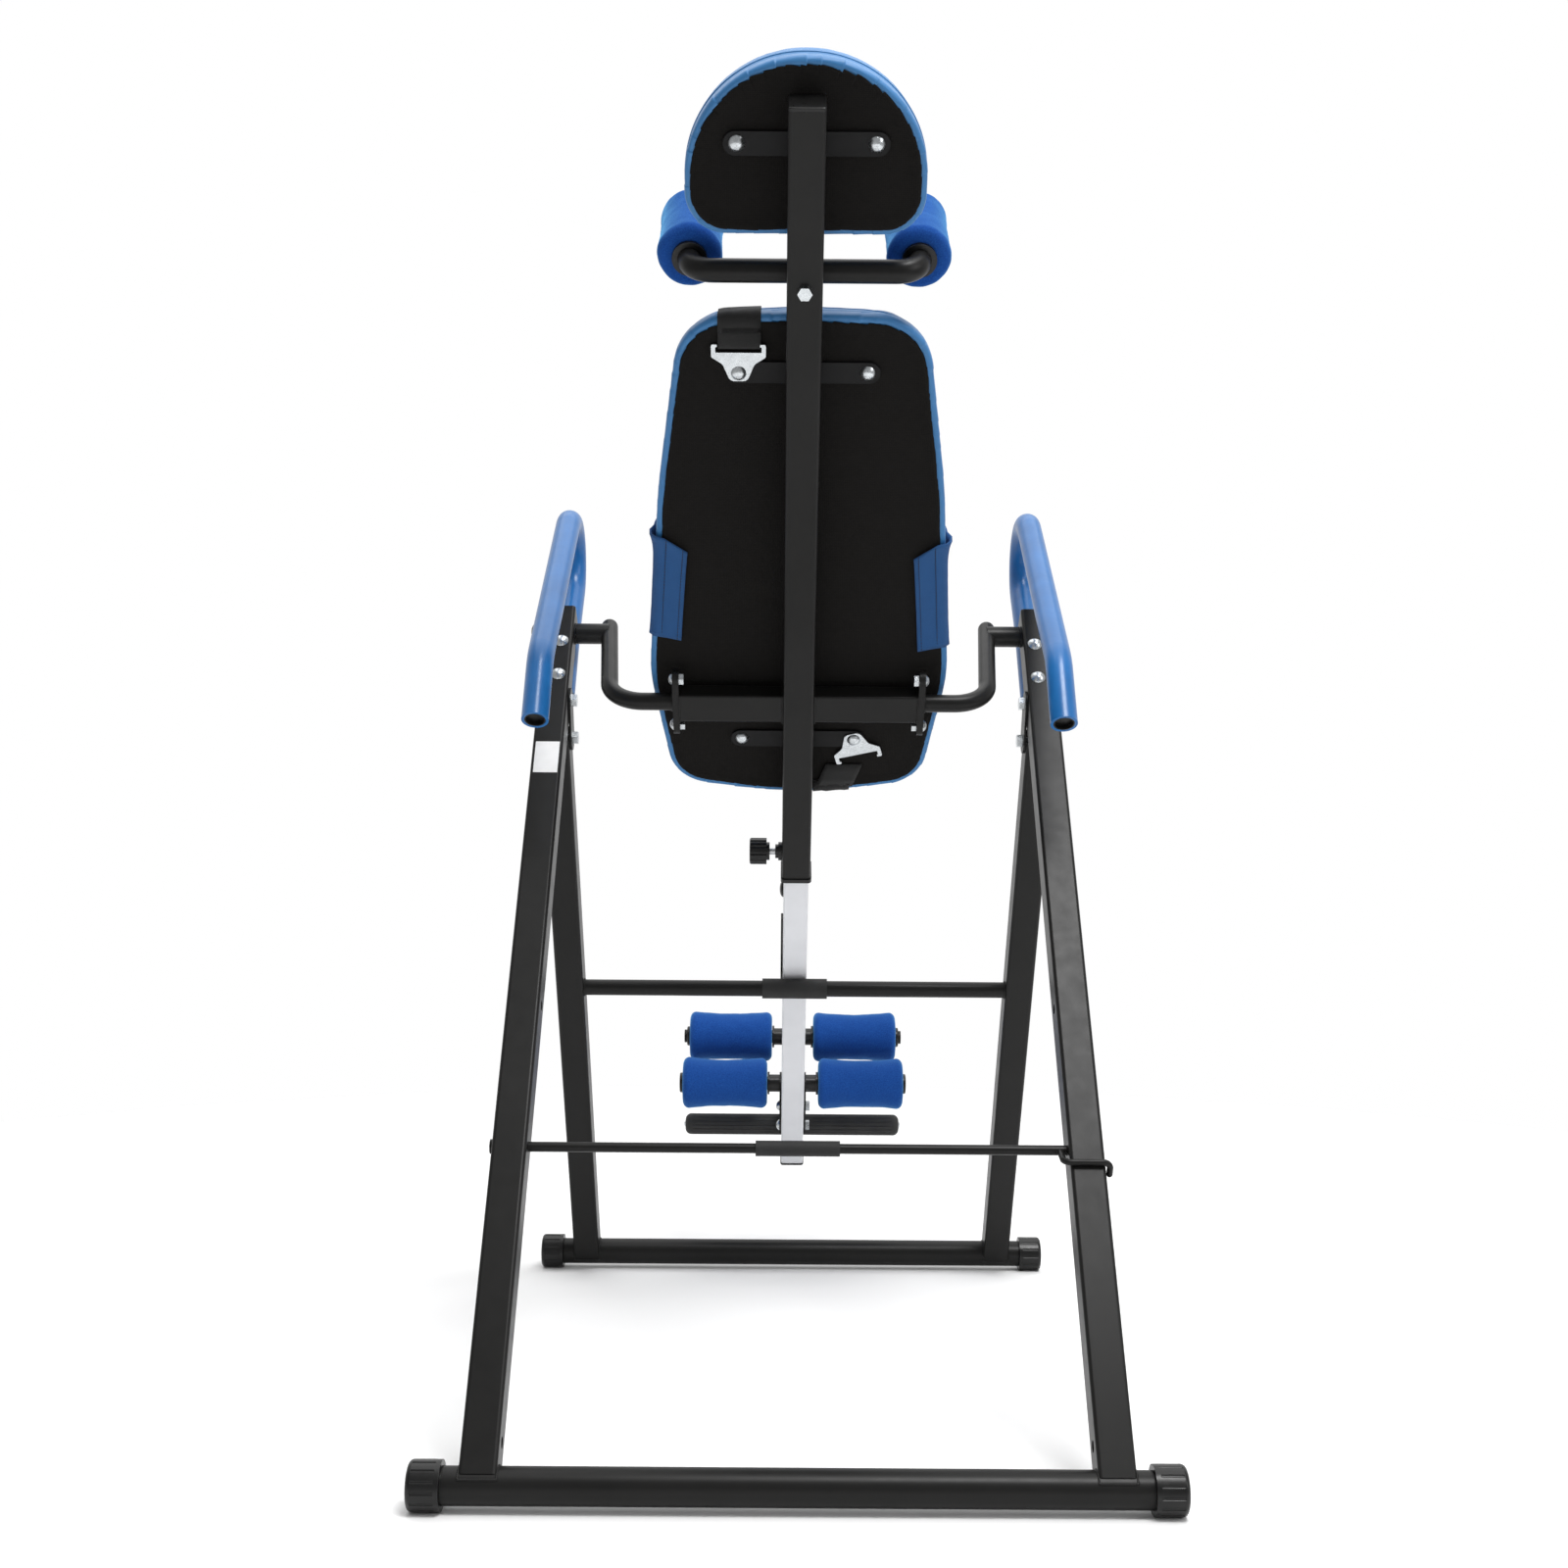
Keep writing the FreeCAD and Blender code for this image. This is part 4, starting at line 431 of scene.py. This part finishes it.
def simulate(made, voxel, pin_below, pressure, cap, frames=20):
    """Cloth simulation that fills a pad: its rear stays pinned and no point moves past cap."""
    remesh = made.modifiers.new("voxels", "REMESH")
    remesh.mode = "VOXEL"
    remesh.voxel_size = voxel
    settle(made)
    start = [v.co.copy() for v in made.data.vertices]
    group = made.vertex_groups.new(name="held")
    for v in made.data.vertices:
        if pin_below(v.co):
            group.add([v.index], 1.0, "REPLACE")
    cloth = made.modifiers.new("cloth", "CLOTH")
    cloth.settings.use_pressure = True
    cloth.settings.uniform_pressure_force = pressure
    cloth.settings.effector_weights.gravity = 0
    cloth.settings.vertex_group_mass = "held"
    cloth.settings.tension_stiffness = 40
    cloth.settings.compression_stiffness = 40
    cloth.settings.shear_stiffness = 12
    cloth.settings.bending_stiffness = 1.5
    cloth.settings.quality = 5
    cloth.collision_settings.use_collision = False
    cloth.point_cache.frame_start = 1
    cloth.point_cache.frame_end = frames
    for step in range(1, frames + 1):
        bpy.context.scene.frame_set(step)
    settle(made)
    bpy.context.scene.frame_set(1)
    for v, was in zip(made.data.vertices, start):
        move = v.co - was
        if move.length > cap:
            v.co = was + move.normalized() * cap


def settle(made):
    """Applies every modifier of an object by swapping in its evaluated mesh."""
    graph = bpy.context.evaluated_depsgraph_get()
    graph.update()
    mesh = bpy.data.meshes.new_from_object(made.evaluated_get(graph))
    old = made.data
    made.modifiers.clear()
    made.data = mesh
    bpy.data.meshes.remove(old)


def smoothed(made, rounds, factor=0.5):
    """Laplacian smoothing that takes voxel steps out of a remeshed pad."""
    graph = bmesh.new()
    graph.from_mesh(made.data)
    for _ in range(rounds):
        bmesh.ops.smooth_vert(graph, verts=graph.verts, factor=factor,
                              use_axis_x=True, use_axis_y=True, use_axis_z=True)
    graph.to_mesh(made.data)
    graph.free()


def pleats(made, outline, rear, reach, tight):
    """Gathers in the cover where it is pulled over the rear edge, deeper round tight curves."""
    centre = sum(rounded(outline), Vector((0, 0))) / len(rounded(outline))
    made.data.update()
    normals = [v.normal.copy() for v in made.data.vertices]
    for v, normal in zip(made.data.vertices, normals):
        depth = (v.co.y - rear) / reach
        if depth > 1:
            continue
        turn = math.atan2(v.co.z - centre.y, v.co.x - centre.x)
        fade = (1 - max(depth, 0)) ** 2
        wave = math.sin(turn * 47 + 2.2 * math.sin(turn * 9)) + 0.5 * math.sin(turn * 83 + 1.3)
        v.co += normal * (tight(turn) * fade * wave * 0.45 * MM)


def filled(name, node, shape, voxel, pinned_to, cap, after=None):
    """A cushion from its lofted shape: filled by simulation, smoothed, placed on the bed."""
    made = bpy.data.objects.new(name, mesh_from(name, *shape))
    bpy.context.scene.collection.objects.link(made)
    simulate(made, voxel, lambda p: p.y < pinned_to, PRESSURE, cap)
    smoothed(made, 3)
    subdivide = made.modifiers.new("fine", "SUBSURF")
    subdivide.levels = subdivide.render_levels = 1
    settle(made)
    if after is not None:
        after(made)
    made.data.transform(BED)
    made.data.materials.append(MATERIALS["pad_blue"])
    for face in made.data.polygons:
        face.use_smooth = True
    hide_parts(node)
    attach(made, "bed")
    return made


def make_pad(name, node, outline, crown, voxel, tight):
    """A vinyl-covered foam pad, gathered at its rear edge."""
    shape = cushion_shape(outline, PAD_REAR + 2 * MM, PAD_FRONT - 3 * MM, 17 * MM, 9 * MM, crown)
    return filled(name, node, shape, voxel, PAD_REAR + BOARD, 6 * MM,
                  lambda made: pleats(made, outline, PAD_REAR, 12 * MM, tight))


def gathers(line, seed, shortest=15 * MM, longest=46 * MM):
    """Irregular folds along a closed line: how far through its fold each point is, 0 to 1."""
    chance = random.Random(seed)
    step = sum((line[i] - line[i - 1]).length for i in range(len(line))) / len(line)
    phases = []
    while len(phases) < len(line):
        span = max(int(chance.uniform(shortest, longest) / step), 3)
        height = chance.uniform(0.35, 1.0)
        phases += [height * (k / span) ** 1.6 for k in range(span)]
    return phases[:len(line)]


def closed_band(rings):
    """Skin through equal closed rings whose last ring joins the first: a hollow hoop."""
    verts, faces = loft(rings, closed_ends=False)
    count = len(rings[0])
    last = (len(rings) - 1) * count
    faces += [(last + i, last + (i + 1) % count, (i + 1) % count, i) for i in range(count)]
    return verts, faces


def wrapped_edge(name, outline, seed, tight):
    """Edge of the vinyl, pulled over the rear rim of the pad in overlapping folds."""
    line = evenly(rounded(outline), 900)
    normal = normals_of(line)
    centre = sum(line, Vector((0, 0))) / len(line)
    folds = gathers(line, seed)
    profile = [(0.8, 15, 0), (-0.5, 13.5, 0.1), (-0.9, 9.0, 0.4), (-1.0, 5.0, 0.7), (-0.6, 2.0, 0.9),
               (0.5, 0.1, 1.0), (2.0, -0.6, 1.0), (4.5, -0.8, 0.8), (8.5, -0.4, 0.25),
               (10.0, 0.3, 0), (10.3, 1.5, 0)]
    rings = []
    for inset, out, share in profile:
        ring = []
        for p, n, fold in zip(line, normal, folds):
            pull = tight(math.atan2(p.y - centre.y, p.x - centre.x))
            lift = 2.3 * pull * fold * share
            if inset < 1:
                d, depth = inset - 0.8 * lift, out
            else:
                d, depth = inset + 2.2 * pull * (fold - 0.4) * (inset > 7), out - lift
            ring.append(Vector((p.x - n.x * d * MM, PAD_REAR + depth * MM, p.y - n.y * d * MM)))
        rings.append(ring)
    verts, faces = closed_band(rings)
    return piece(name, mesh_from(name, verts, faces, BED), "pad_blue", "bed")


def back_cover(name, outline, seed, tight, inset):
    """Black dust cover on the rear of a pad, its turned edge gathered over the vinyl."""
    line = evenly(rounded(outline), 900)
    normal = normals_of(line)
    centre = sum(line, Vector((0, 0))) / len(line)
    folds = gathers(line, seed, 8 * MM, 24 * MM)

    def ring(extra, out, share):
        points = []
        for p, n, fold in zip(line, normal, folds):
            pull = tight(math.atan2(p.y - centre.y, p.x - centre.x))
            wander = 1.0 * noise.noise(Vector((p.x * 28, p.y * 28, seed)))
            d = inset + extra + wander + 1.8 * pull * (fold - 0.3) * (share > 0.5)
            lift = 0.8 * pull * fold * share
            points.append(Vector((p.x - n.x * d * MM, PAD_REAR + (out - lift) * MM,
                                  p.y - n.y * d * MM)))
        return points

    def shrunk(k, out):
        return [Vector((centre.x + (v.x - centre.x) * k, v.y, centre.y + (v.z - centre.y) * k))
                for v in ring(14, out, 0)]

    rings = [shrunk(k, 3) for k in (0.3, 0.7)]
    rings += [ring(8, 3, 0), ring(3, 1.5, 0.6), ring(0.4, -1.0, 0.8), ring(0, -1.7, 1.0),
              ring(1.0, -2.2, 1.0), ring(4, -2.2, 0.9), ring(9, -1.2, 0.5),
              ring(14, -0.6, 0.2)]
    rings += [shrunk(k, -0.4 + 0.2 * k) for k in (0.95, 0.89, 0.82, 0.73, 0.62, 0.5, 0.35, 0.2, 0.08)]
    verts, faces = loft(rings)
    made = piece(name, mesh_from(name, verts, faces, BED), "pad_back", "bed")
    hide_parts("pad_boards")
    return made


def seam_welt(name, pad, outline, depth, radius=1.0 * MM):
    """Raised seam round the side of a pad, where its front and side panels are sewn."""
    tree = surface_tree(pad)
    spots = evenly(rounded(outline), 360)
    path = []
    for p, n in zip(spots, normals_of(spots)):
        start = Vector((p.x + n.x * 0.05, depth, p.y + n.y * 0.05))
        hit = tree.ray_cast(start, Vector((-n.x, 0, -n.y)))[0]
        path.append((hit if hit is not None else Vector((p.x, depth, p.y)), n))
    rings = []
    for k in range(8):
        turn = 2 * math.pi * k / 8
        rings.append([hit + Vector((n.x, 0, n.y)) * (radius * math.cos(turn))
                      + Vector((0, radius * math.sin(turn), 0)) for hit, n in path])
    verts, faces = closed_band(rings)
    return piece(name, mesh_from(name, verts, faces, BED), "pad_blue", "bed")


def head_tight(turn):
    return 0.5 + 1.1 * max(math.sin(turn), 0)


def back_tight(turn):
    return 0.25 + 0.9 * abs(math.sin(turn)) ** 6


def make_pads():
    head = make_pad("head_pad_cover", "head_cushion", HEAD_OUTLINE, 4 * MM, 4.5 * MM, head_tight)
    back = make_pad("back_pad_cover", "back_cushion", BACK_OUTLINE, 5 * MM, 5.5 * MM, back_tight)
    wrapped_edge("head_pad_wrap", HEAD_OUTLINE, 5, head_tight)
    back_cover("head_pad_back", HEAD_OUTLINE, 2, head_tight, 5.0)
    seam_welt("head_pad_seam", head, HEAD_OUTLINE, PAD_REAR + 20 * MM)
    return [back, wrapped_edge("back_pad_wrap", BACK_OUTLINE, 8, back_tight),
            back_cover("back_pad_back", BACK_OUTLINE, 3, back_tight, 6.0),
            seam_welt("back_pad_seam", back, BACK_OUTLINE, PAD_REAR + 20 * MM)]


def make_lumbar():
    """Lumbar support cushion, filled by the same simulation."""
    low, high, half = LUMBAR_LOW / MM, LUMBAR_HIGH / MM, LUMBAR_HALF / MM
    outline = [(-half, low, 25), (half, low, 25), (half - 6, high, 25), (6 - half, high, 25)]
    rear, front = PAD_FRONT + 2.6 * MM, PAD_FRONT + 30 * MM
    shape = cushion_shape(outline, rear, front - 3 * MM, 11 * MM, 8 * MM, 4 * MM, 160)
    return filled("lumbar_pad", "lumbar_cushion", shape, 4.5 * MM, rear + 3 * MM, 5 * MM)


# ======================================================================= strap and bands
def ribbon(name, rows, thickness, slot, body):
    """Flat band through rows of points (each row runs across the band), with a thickness."""
    across = len(rows[0])
    verts, faces = [], []
    skins = []
    for way in (-0.5, 0.5):
        skin = []
        for r, row in enumerate(rows):
            ahead = rows[min(r + 1, len(rows) - 1)]
            behind = rows[max(r - 1, 0)]
            for c, p in enumerate(row):
                along = ahead[c] - behind[c]
                side = row[min(c + 1, across - 1)] - row[max(c - 1, 0)]
                normal = along.cross(side).normalized()
                skin.append(p + normal * thickness * way)
        skins.append(skin)
    for skin in skins:
        verts += skin
    size = len(rows) * across
    for r in range(len(rows) - 1):
        for c in range(across - 1):
            a = r * across + c
            faces.append((a, a + 1, a + across + 1, a + across))
            faces.append((size + a, size + a + across, size + a + across + 1, size + a + 1))
    border = [c for c in range(across)]
    border += [r * across + across - 1 for r in range(1, len(rows))]
    border += [(len(rows) - 1) * across + c for c in range(across - 2, -1, -1)]
    border += [r * across for r in range(len(rows) - 2, 0, -1)]
    for a, b in zip(border, border[1:] + border[:1]):
        faces.append((b, a, size + a, size + b))
    return piece(name, mesh_from(name, verts, faces, BED), slot, body)


def surface_tree(*objects):
    """Search tree of pieces in the bed's own frame."""
    graph = bmesh.new()
    for item in objects:
        copy = item.data.copy()
        copy.transform(BED.inverted())
        graph.from_mesh(copy)
        bpy.data.meshes.remove(copy)
    tree = BVHTree.FromBMesh(graph)
    graph.free()
    return tree


def pushed_clear(tree, centre, point, clear):
    """Moves a point out along its ray from centre until it is clear of the pad's skin."""
    ray = (point - centre).normalized()
    hit, _, _, distance = tree.ray_cast(centre + ray * 0.5, -ray)
    if hit is None:
        return point
    return hit + ray * clear


def make_strap(back):
    """Webbing from the upper hook, over the pad, behind the lumbar cushion, to the lower."""
    tree = surface_tree(*back)
    start_x, end_x, hook_x = -70 * MM, 44 * MM, 60 * MM
    top, bottom = 519 * MM, -150.5 * MM
    middle = (PAD_REAR + PAD_FRONT) / 2
    lift = 1.3 * MM
    rear = PAD_REAR - 3.2 * MM
    centre_line = [Vector((start_x, rear, u * MM)) for u in (482, 490, 498, 506)]
    for k in range(0, 19):
        turn = math.radians(180 - 10 * k)
        ray = Vector((0, math.cos(turn) * 0.026, math.sin(turn) * 0.026))
        centre_line.append(Vector((start_x, middle, top - 26 * MM)) + ray)
    for k in range(1, 60):
        t = k / 60
        x = start_x + (end_x - start_x) * t
        centre_line.append(Vector((x, PAD_FRONT, (top - 26 * MM) * (1 - t) + (bottom + 26 * MM) * t)))
    for k in range(0, 19):
        turn = math.radians(-10 * k)
        ray = Vector((0, math.cos(turn) * 0.026, math.sin(turn) * 0.026))
        centre_line.append(Vector((end_x, middle, bottom + 26 * MM)) + ray)
    for k, u in enumerate((-134, -122, -110, -98)):
        centre_line.append(Vector((end_x + (hook_x - end_x) * (k + 1) / 4, rear, u * MM)))
    rows = []
    for i, p in enumerate(centre_line):
        row = []
        for c in range(9):
            offset = STRAP_WIDTH * (c / 8 - 0.5)
            q = p + Vector((offset, 0, 0))
            if 4 <= i < len(centre_line) - 4:
                core = Vector((q.x, middle, min(max(q.z, bottom + 30 * MM), top - 30 * MM)))
                q = pushed_clear(tree, core, q if (q - core).length > 1e-4 else core + OUT, lift)
            row.append(q)
        rows.append(row)
    made = ribbon("lumbar_webbing", rows, 1.8 * MM, "webbing", "bed")
    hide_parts("lumbar_strap")
    return made


def flap_share(inset):
    """How far along the flap a distance from the pad's side is, 0 at its bend to 1."""
    return max(inset - BAND_BEND, 0) / (BAND_REACH - BAND_BEND)


def flap_drop(inward, share):
    """How far a flap's free end hangs below the band: most at its upper corner."""
    return inward * (7 * MM + 17 * MM * share ** 2)


def make_band(side_name, side, back):
    """Side band of the lumbar cushion: from its edge, round the pad, to a flap behind."""
    tree = surface_tree(*back)
    low, high = BAND_SPAN[side_name]
    middle = (PAD_REAR + PAD_FRONT) / 2
    rows = []
    steps = 26
    for i in range(steps + 1):
        level = low + (high - low) * i / steps
        sewn = LUMBAR_LOW + 7 * MM + (LUMBAR_HIGH - LUMBAR_LOW - 14 * MM) * i / steps
        spread = 2 * i / steps - 1
        row = []
        edge = 182 * MM if level < 80 * MM else 182 * MM - (level - 80 * MM) * 0.075
        flare = 7 * MM * max(spread, 0) ** 5 + 1.5 * MM * max(-spread, 0) ** 4
        path = [(LUMBAR_HALF - 4 * MM, PAD_FRONT + 9 * MM), (LUMBAR_HALF + 3 * MM, PAD_FRONT + 4 * MM)]
        for k in range(0, 12):
            turn = math.radians(90 - 180 * k / 14)
            path.append((edge + 0.03 * math.cos(turn) - 0.026, middle + 0.03 * math.sin(turn)))
        flap = [(edge - d * MM, PAD_REAR - (2.6 + 0.02 * d) * MM) for d in (9, 14, 20, 26, 31, 36)]
        for k, (x, out) in enumerate(path + flap):
            point = Vector((x * side, out, sewn + (level - sewn) * min(k / 9, 1)))
            if 2 <= k < len(path):
                core = Vector(((edge - 26 * MM) * side, middle, point.z))
                point = pushed_clear(tree, core, point, 1.6 * MM + flare)
            if k >= len(path):
                inward = flap_share(edge - x)
                point.y -= flare * (1 - inward)
                point.y -= 0.5 * MM * noise.noise(Vector((x * 60, level * 40, side)))
                point.z -= flap_drop(inward, i / steps)
            row.append(point)
        rows.append(row if side > 0 else row[::-1])
    made = ribbon("lumbar_band_" + side_name, rows, 2.0 * MM, "band_blue", "bed")
    return made


def band_hems(side_name, side):
    """Dark stitches across the rear flap of a band, near its end and near the pad's side."""
    low, high = BAND_SPAN[side_name]
    graph = bmesh.new()
    for inset in (31 * MM, 12 * MM):
        count = int((high - low) / (4.6 * MM))
        for i in range(count):
            share = (i + 0.5) / count
            level = low + (high - low) * share
            edge = 182 * MM - max(level - 80 * MM, 0) * 0.075
            level -= flap_drop(flap_share(inset), share)
            made = bmesh.ops.create_icosphere(graph, subdivisions=2, radius=1.0)["verts"]
            flare = 7 * MM * max(2 * share - 1, 0) ** 5 * (1 - flap_share(inset))
            place = Vector(((edge - inset) * side, PAD_REAR - 4.4 * MM - flare, level))
            size = Matrix.Diagonal((0.6 * MM, 0.5 * MM, 1.5 * MM, 1))
            bmesh.ops.transform(graph, matrix=Matrix.Translation(place) @ size, verts=made)
    mesh = bpy.data.meshes.new("band_stitches_" + side_name)
    graph.to_mesh(mesh)
    graph.free()
    mesh.transform(BED)
    return piece("band_stitches_" + side_name, mesh, "webbing", "bed")


# =============================================================================== rollers
def roller_profile(size, waist):
    """(radius, distance) points from bore to bore round a soft foam roller."""
    radius, length, bore = size["radius"], size["length"], size["bore"]
    nose = 10 * MM
    points = [(bore, 3.5 * MM), (bore + 1.5 * MM, 1.2 * MM), (bore + 6 * MM, 0.2 * MM)]
    for k in range(0, 9):
        turn = math.radians(90 * k / 8)
        points.append((radius - nose + nose * math.sin(turn), nose * 0.9 * (1 - math.cos(turn))))
    for k in range(1, 24):
        t = k / 24
        pull = waist * math.sin(math.pi * t) ** 0.8
        points.append((radius - pull, nose * 0.9 + (length - 1.8 * nose) * t))
    mirrored = [(r, length - h) for r, h in reversed(points[:12])]
    return points + mirrored


def make_roller(name, node, size, origin, axis, waist, seed):
    """Foam roller turned about its axis, with small dents so that it isn't machine-round."""
    profile = roller_profile(size, waist)
    across = Vector((0, 0, 1)).rotation_difference(axis).to_matrix()
    count = 96
    rings = []
    for radius, along in profile:
        ring = []
        for i in range(count):
            turn = 2 * math.pi * i / count
            point = Vector((math.cos(turn) * radius, math.sin(turn) * radius, along))
            dent = noise.noise(point * 38 + Vector((seed, 0, 0))) * 0.9 * MM
            dent += noise.noise(point * 120 + Vector((0, seed, 0))) * 0.35 * MM
            if radius > size["bore"] + 4 * MM:
                point += Vector((math.cos(turn), math.sin(turn), 0)) * (dent - 0.6 * MM)
            ring.append(origin + across @ point)
        rings.append(ring)
    verts, faces = loft(rings, closed_ends=False)
    inner = [(len(rings) - 1) * count + i for i in range(count)]
    for i in range(count):
        j = (i + 1) % count
        faces.append((inner[i], inner[j], j, i))
    made = piece(name, mesh_from(name, verts, faces), "foam_blue", node)
    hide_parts(node)
    return made


def bed_point(x, out, up):
    return BED @ Vector((x, out, up))


def make_rollers():
    for k, (side_name, side) in enumerate(SIDES):
        x_axis = ACROSS * side
        rear = bed_point(side * 38.5 * MM, -139 * MM, -725 * MM)
        front = bed_point(side * 32 * MM, -34 * MM, -735 * MM)
        top = bed_point(side * 124 * MM, -104 * MM, 566 * MM)
        make_roller("rear_foam_" + side_name, "rear_roller_" + side_name, ROLLER, rear, x_axis,
                    3.3 * MM, 3 + k)
        make_roller("front_foam_" + side_name, "front_roller_" + side_name, ROLLER, front, x_axis,
                    3.0 * MM, 7 + k)
        make_roller("shoulder_foam_" + side_name, "shoulder_roller_" + side_name, SHOULDER, top,
                    OUT, 1.2 * MM, 11 + k)


# ================================================================================= welds
def weld(name, path, radius, body, slot="frame_black"):
    """Bead of overlapping weld ripples along a closed path."""
    loop = path + [path[0]]
    lengths = [(b - a).length for a, b in zip(loop, loop[1:])]
    total = sum(lengths)
    count = max(int(total / (0.9 * MM)), 24)
    graph = bmesh.new()
    for i in range(count):
        target = total * i / count
        k = 0
        while target > lengths[k]:
            target -= lengths[k]
            k += 1
        at = loop[k].lerp(loop[k + 1], target / lengths[k])
        swell = radius * (0.82 + 0.22 * abs(math.sin(math.pi * i / 2.6)))
        made = bmesh.ops.create_icosphere(graph, subdivisions=1, radius=1.0)["verts"]
        bmesh.ops.transform(graph, matrix=Matrix.Translation(at) @ Matrix.Scale(swell, 4),
                            verts=made)
    mesh = bpy.data.meshes.new(name)
    graph.to_mesh(mesh)
    graph.free()
    return piece(name, mesh, slot, body)


LEG_FEET = {"rear": (-552.5 * MM, math.atan2(0.818, 0.575)),
            "front": (497.5 * MM, math.atan2(0.8566, -0.516))}


def box_path(centre, first, second):
    """Corners of a rectangle from its centre and its two half-sides."""
    return [centre + first * a + second * b for a, b in ((1, 1), (-1, 1), (-1, -1), (1, -1))]


def circle_path(centre, first, second, radius, steps=40):
    return [centre + (first * math.cos(t) + second * math.sin(t)) * radius
            for t in (2 * math.pi * i / steps for i in range(steps))]


def saddle_path(centre, slope, radius):
    """Where a square leg, leaning by slope along Y, meets the round tube along X below it."""
    along = Vector((0, math.cos(slope), math.sin(slope)))
    across = Vector((0, math.sin(slope), -math.cos(slope)))
    edge = 19 * MM
    steps = [2 * edge * k / 12 - edge for k in range(12)]
    path = [(t, -edge) for t in steps] + [(edge, t) for t in steps]
    path += [(-t, edge) for t in steps] + [(-edge, -t) for t in steps]
    return [centre + ACROSS * x + across * n + along * math.sqrt(max(radius ** 2 - n * n, 0))
            for x, n in path]


def make_welds():
    for side_name, side in SIDES:
        root = bed_point(side * (SPINE_HALF + 0.6 * MM), SPINE_OUT, CROSS_UP)
        around = box_path(root, OUT * 12.6 * MM, UP * 20.1 * MM)
        weld("weld_cross_" + side_name, around, 1.7 * MM, "bed")
        tip = bed_point(side * 147.6 * MM, SPINE_OUT, CROSS_UP)
        around = box_path(tip, OUT * 12.4 * MM, UP * 19.9 * MM)
        weld("weld_flange_" + side_name, around, 1.4 * MM, "bed")
        arm = bed_point(side * 156.6 * MM, SPINE_OUT, 16 * MM)
        weld("weld_crank_" + side_name, circle_path(arm, OUT, UP, 11.3 * MM), 1.4 * MM, "bed")
        low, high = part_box("front_crossbar")
        bar = Vector((side * (high.x - 0.5 * MM), (low.y + high.y) / 2, (low.z + high.z) / 2))
        around = circle_path(bar, Vector((0, 1, 0)), Vector((0, 0, 1)), 11.3 * MM)
        weld("weld_crossbar_" + side_name, around, 1.5 * MM, "front_frame")
        for end, (y, slope) in LEG_FEET.items():
            foot = Vector((side * 312.5 * MM, y, 24.5 * MM))
            weld("weld_" + end + "_leg_" + side_name, saddle_path(foot, slope, 19 * MM), 1.6 * MM,
                 end + "_frame")


# ================================================================================ studio
def make_floor():
    """Round pale floor, large enough for the table and its shadow."""
    radius, count = 2.6, 96
    turns = [2 * math.pi * i / count for i in range(count)]
    rim = [(radius * math.cos(t), radius * math.sin(t), 0) for t in turns]
    mesh = mesh_from("floor", rim, [tuple(range(count))])
    floor = bpy.data.objects.new("floor", mesh)
    bpy.context.scene.collection.objects.link(floor)
    s = Shader("floor_paper", Roughness=0.95)
    colour = s.ramp(s.noise(2.0), (0.3, (0.92, 0.92, 0.92)), (0.7, (0.94, 0.94, 0.94)))
    mesh.materials.append(s.set(Base_Color=colour))


def area_light(name, place, aim, size, power):
    data = bpy.data.lights.new(name, "AREA")
    data.shape = "RECTANGLE"
    data.size, data.size_y = size
    data.energy = power
    lamp = bpy.data.objects.new(name, data)
    lamp.location = place
    lamp.rotation_euler = (Vector(aim) - Vector(place)).to_track_quat("-Z", "Y").to_euler()
    bpy.context.scene.collection.objects.link(lamp)


def make_studio():
    """Soft white room: bright behind the table, dimmer on the near side, key from above."""
    world = bpy.data.worlds.new("studio")
    world.use_nodes = True
    tree = world.node_tree
    back = tree.nodes["Background"]
    back.inputs["Color"].default_value = (1, 1, 1, 1)
    place = tree.nodes.new("ShaderNodeTexCoord")
    parts = tree.nodes.new("ShaderNodeSeparateXYZ")
    fade = tree.nodes.new("ShaderNodeMapRange")
    fade.interpolation_type = "SMOOTHSTEP"
    fade.inputs["From Min"].default_value = -0.2
    fade.inputs["From Max"].default_value = 0.75
    fade.inputs["To Min"].default_value = 0.42
    fade.inputs["To Max"].default_value = 1.0
    tree.links.new(place.outputs["Generated"], parts.inputs["Vector"])
    tree.links.new(parts.outputs["Y"], fade.inputs["Value"])
    tree.links.new(fade.outputs["Result"], back.inputs["Strength"])
    bpy.context.scene.world = world
    area_light("key", (0.9, -1.9, 4.4), (0, 0, 0.6), (1.6, 1.4), 140)
    area_light("fill", (3.2, -2.4, 2.4), (0, 0, 0.7), (1.4, 2.2), 34)
    area_light("top", (0, 1.2, 5.0), (0, 0.6, 0), (5.0, 5.0), 105)


def make_camera():
    """Level camera behind the table, a little left of its middle."""
    data = bpy.data.cameras.new("camera")
    data.sensor_width = 36
    data.lens = 43.33
    data.shift_y = 0.0332
    camera = bpy.data.objects.new("camera", data)
    camera.matrix_world = (Matrix.Translation((-0.0218, -2.403, 0.6636))
                           @ Matrix.Rotation(-0.0021, 4, "Z")
                           @ Matrix.Rotation(math.pi / 2, 4, "X")
                           @ Matrix.Rotation(0.0073, 4, "Z"))
    bpy.context.scene.collection.objects.link(camera)
    bpy.context.scene.camera = camera


make_camera()
make_studio()
make_floor()
bpy.context.scene.view_settings.view_transform = "Standard"
paint_cad()
back_pad = make_pads()
make_lumbar()
make_strap(back_pad)
for side_name, side in SIDES:
    band = make_band(side_name, side, back_pad)
    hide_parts("lumbar_band")
    band_hems(side_name, side)
make_rollers()
make_welds()
